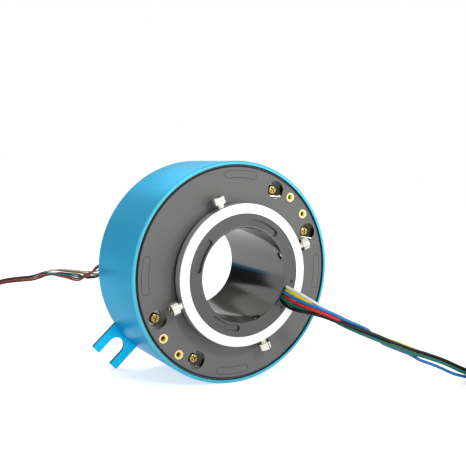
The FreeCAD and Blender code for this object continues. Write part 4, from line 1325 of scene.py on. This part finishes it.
floor_mesh = bpy.data.meshes.new("floor")
form = bmesh.new()
bmesh.ops.create_grid(form, x_segments=1, y_segments=1, size=FLOOR_HALF)
bmesh.ops.translate(form, verts=form.verts, vec=(0, 0, FLOOR - FLOOR_GAP))
form.to_mesh(floor_mesh)
form.free()
placed("floor", floor_mesh)
floor_paint = bpy.data.materials.new("pale_floor")
tree = emptied(floor_paint)
lit = add_node(tree, "ShaderNodeBsdfDiffuse", {"Color": linear("#E6E6E6")})
glow = add_node(
    tree, "ShaderNodeMath", {0: seen_directly(tree), 1: FLOOR_GLOW}, operation="MULTIPLY"
)
white = add_node(
    tree, "ShaderNodeEmission", {"Color": (1, 1, 1, 1), "Strength": glow.outputs[0]}
)
total = add_node(tree, "ShaderNodeAddShader", {0: lit.outputs[0], 1: white.outputs[0]})
add_node(tree, "ShaderNodeOutputMaterial", {"Surface": total.outputs[0]})
floor_mesh.materials.append(floor_paint)
print("floor at", round(FLOOR - FLOOR_GAP, 5))

# %% World
# Half strength on the object, where it only fills the shadows; full white where it is seen.
WORLD_FILL = 0.5
world = bpy.data.worlds.new("studio")
tree = emptied(world)
strength = add_node(
    tree,
    "ShaderNodeMapRange",
    {"Value": seen_directly(tree), "To Min": WORLD_FILL, "To Max": 1.0},
)
light = add_node(
    tree,
    "ShaderNodeBackground",
    {"Color": (1, 1, 1, 1), "Strength": strength.outputs["Result"]},
)
add_node(tree, "ShaderNodeOutputWorld", {"Surface": light.outputs[0]})
bpy.context.scene.world = world
print("world fills with", WORLD_FILL)

# %% [markdown]
# ### Lamps
#
# Three softboxes light the ring: a small one in front and above, which draws the sharp glints, a
# large one on the right, which fills the front, and one behind and above, which lights the top.

# %% Lamps
def softbox(name, place, aim, size, watts):
    """A rectangular area lamp at a place, facing its aim."""
    lamp = bpy.data.lights.new(name, "AREA")
    lamp.shape = "RECTANGLE"
    lamp.size, lamp.size_y = size
    lamp.energy = watts
    holder = placed(name, lamp)
    holder.location = place
    holder.rotation_euler = (Vector(aim) - Vector(place)).to_track_quat("-Z", "Y").to_euler()
    print(name, watts, "W")


softbox("key", (0.01, -0.64, 0.49), (0, 0, 0), (0.12, 0.12), 2.05)
softbox("fill", (0.55, -0.62, 0.15), (0, 0, 0), (0.72, 0.72), 2.1)
softbox("top", (0.1, 0.55, 0.55), (0, 0.02, 0), (0.6, 0.4), 1.9)

# %% [markdown]
# ### Cards for the bore
#
# The glossy bore mirrors what stands behind the ring in a studio. Four plain boards give it the
# dark, grey, pale and blue bands of the picture. They are hidden from the camera, cast no
# shadow and are left out of diffuse light, so only reflections see them.

# %% Cards that only reflections see
def card(name, centre, width, height, code):
    """An upright board of one colour that faces the ring from behind."""
    mesh = bpy.data.meshes.new(name)
    form = bmesh.new()
    bmesh.ops.create_grid(form, x_segments=1, y_segments=1, size=0.5)
    form.to_mesh(mesh)
    form.free()
    board = placed(name, mesh)
    board.location = centre
    board.scale = (width, height, 1)
    board.rotation_euler = Vector((centre[0], centre[1], 0)).to_track_quat("Z", "Y").to_euler()
    board.visible_camera = board.visible_shadow = board.visible_diffuse = False
    paint = bpy.data.materials.new(name)
    tree = emptied(paint)
    glow = add_node(tree, "ShaderNodeEmission", {"Color": linear(code)})
    add_node(tree, "ShaderNodeOutputMaterial", {"Surface": glow.outputs[0]})
    mesh.materials.append(paint)
    print(name, "at", centre)


card("dark_card", (-0.03, 0.17, 0.018), 0.1, 0.048, "#3A3A3A")
card("grey_card", (0.015, 0.17, 0.056), 0.11, 0.03, "#7E7E74")
card("pale_card", (0.015, 0.17, 0.101), 0.11, 0.06, "#DCDCCE")
card("teal_card", (-0.03, 0.169, -0.0105), 0.1, 0.009, "#18B4E0")
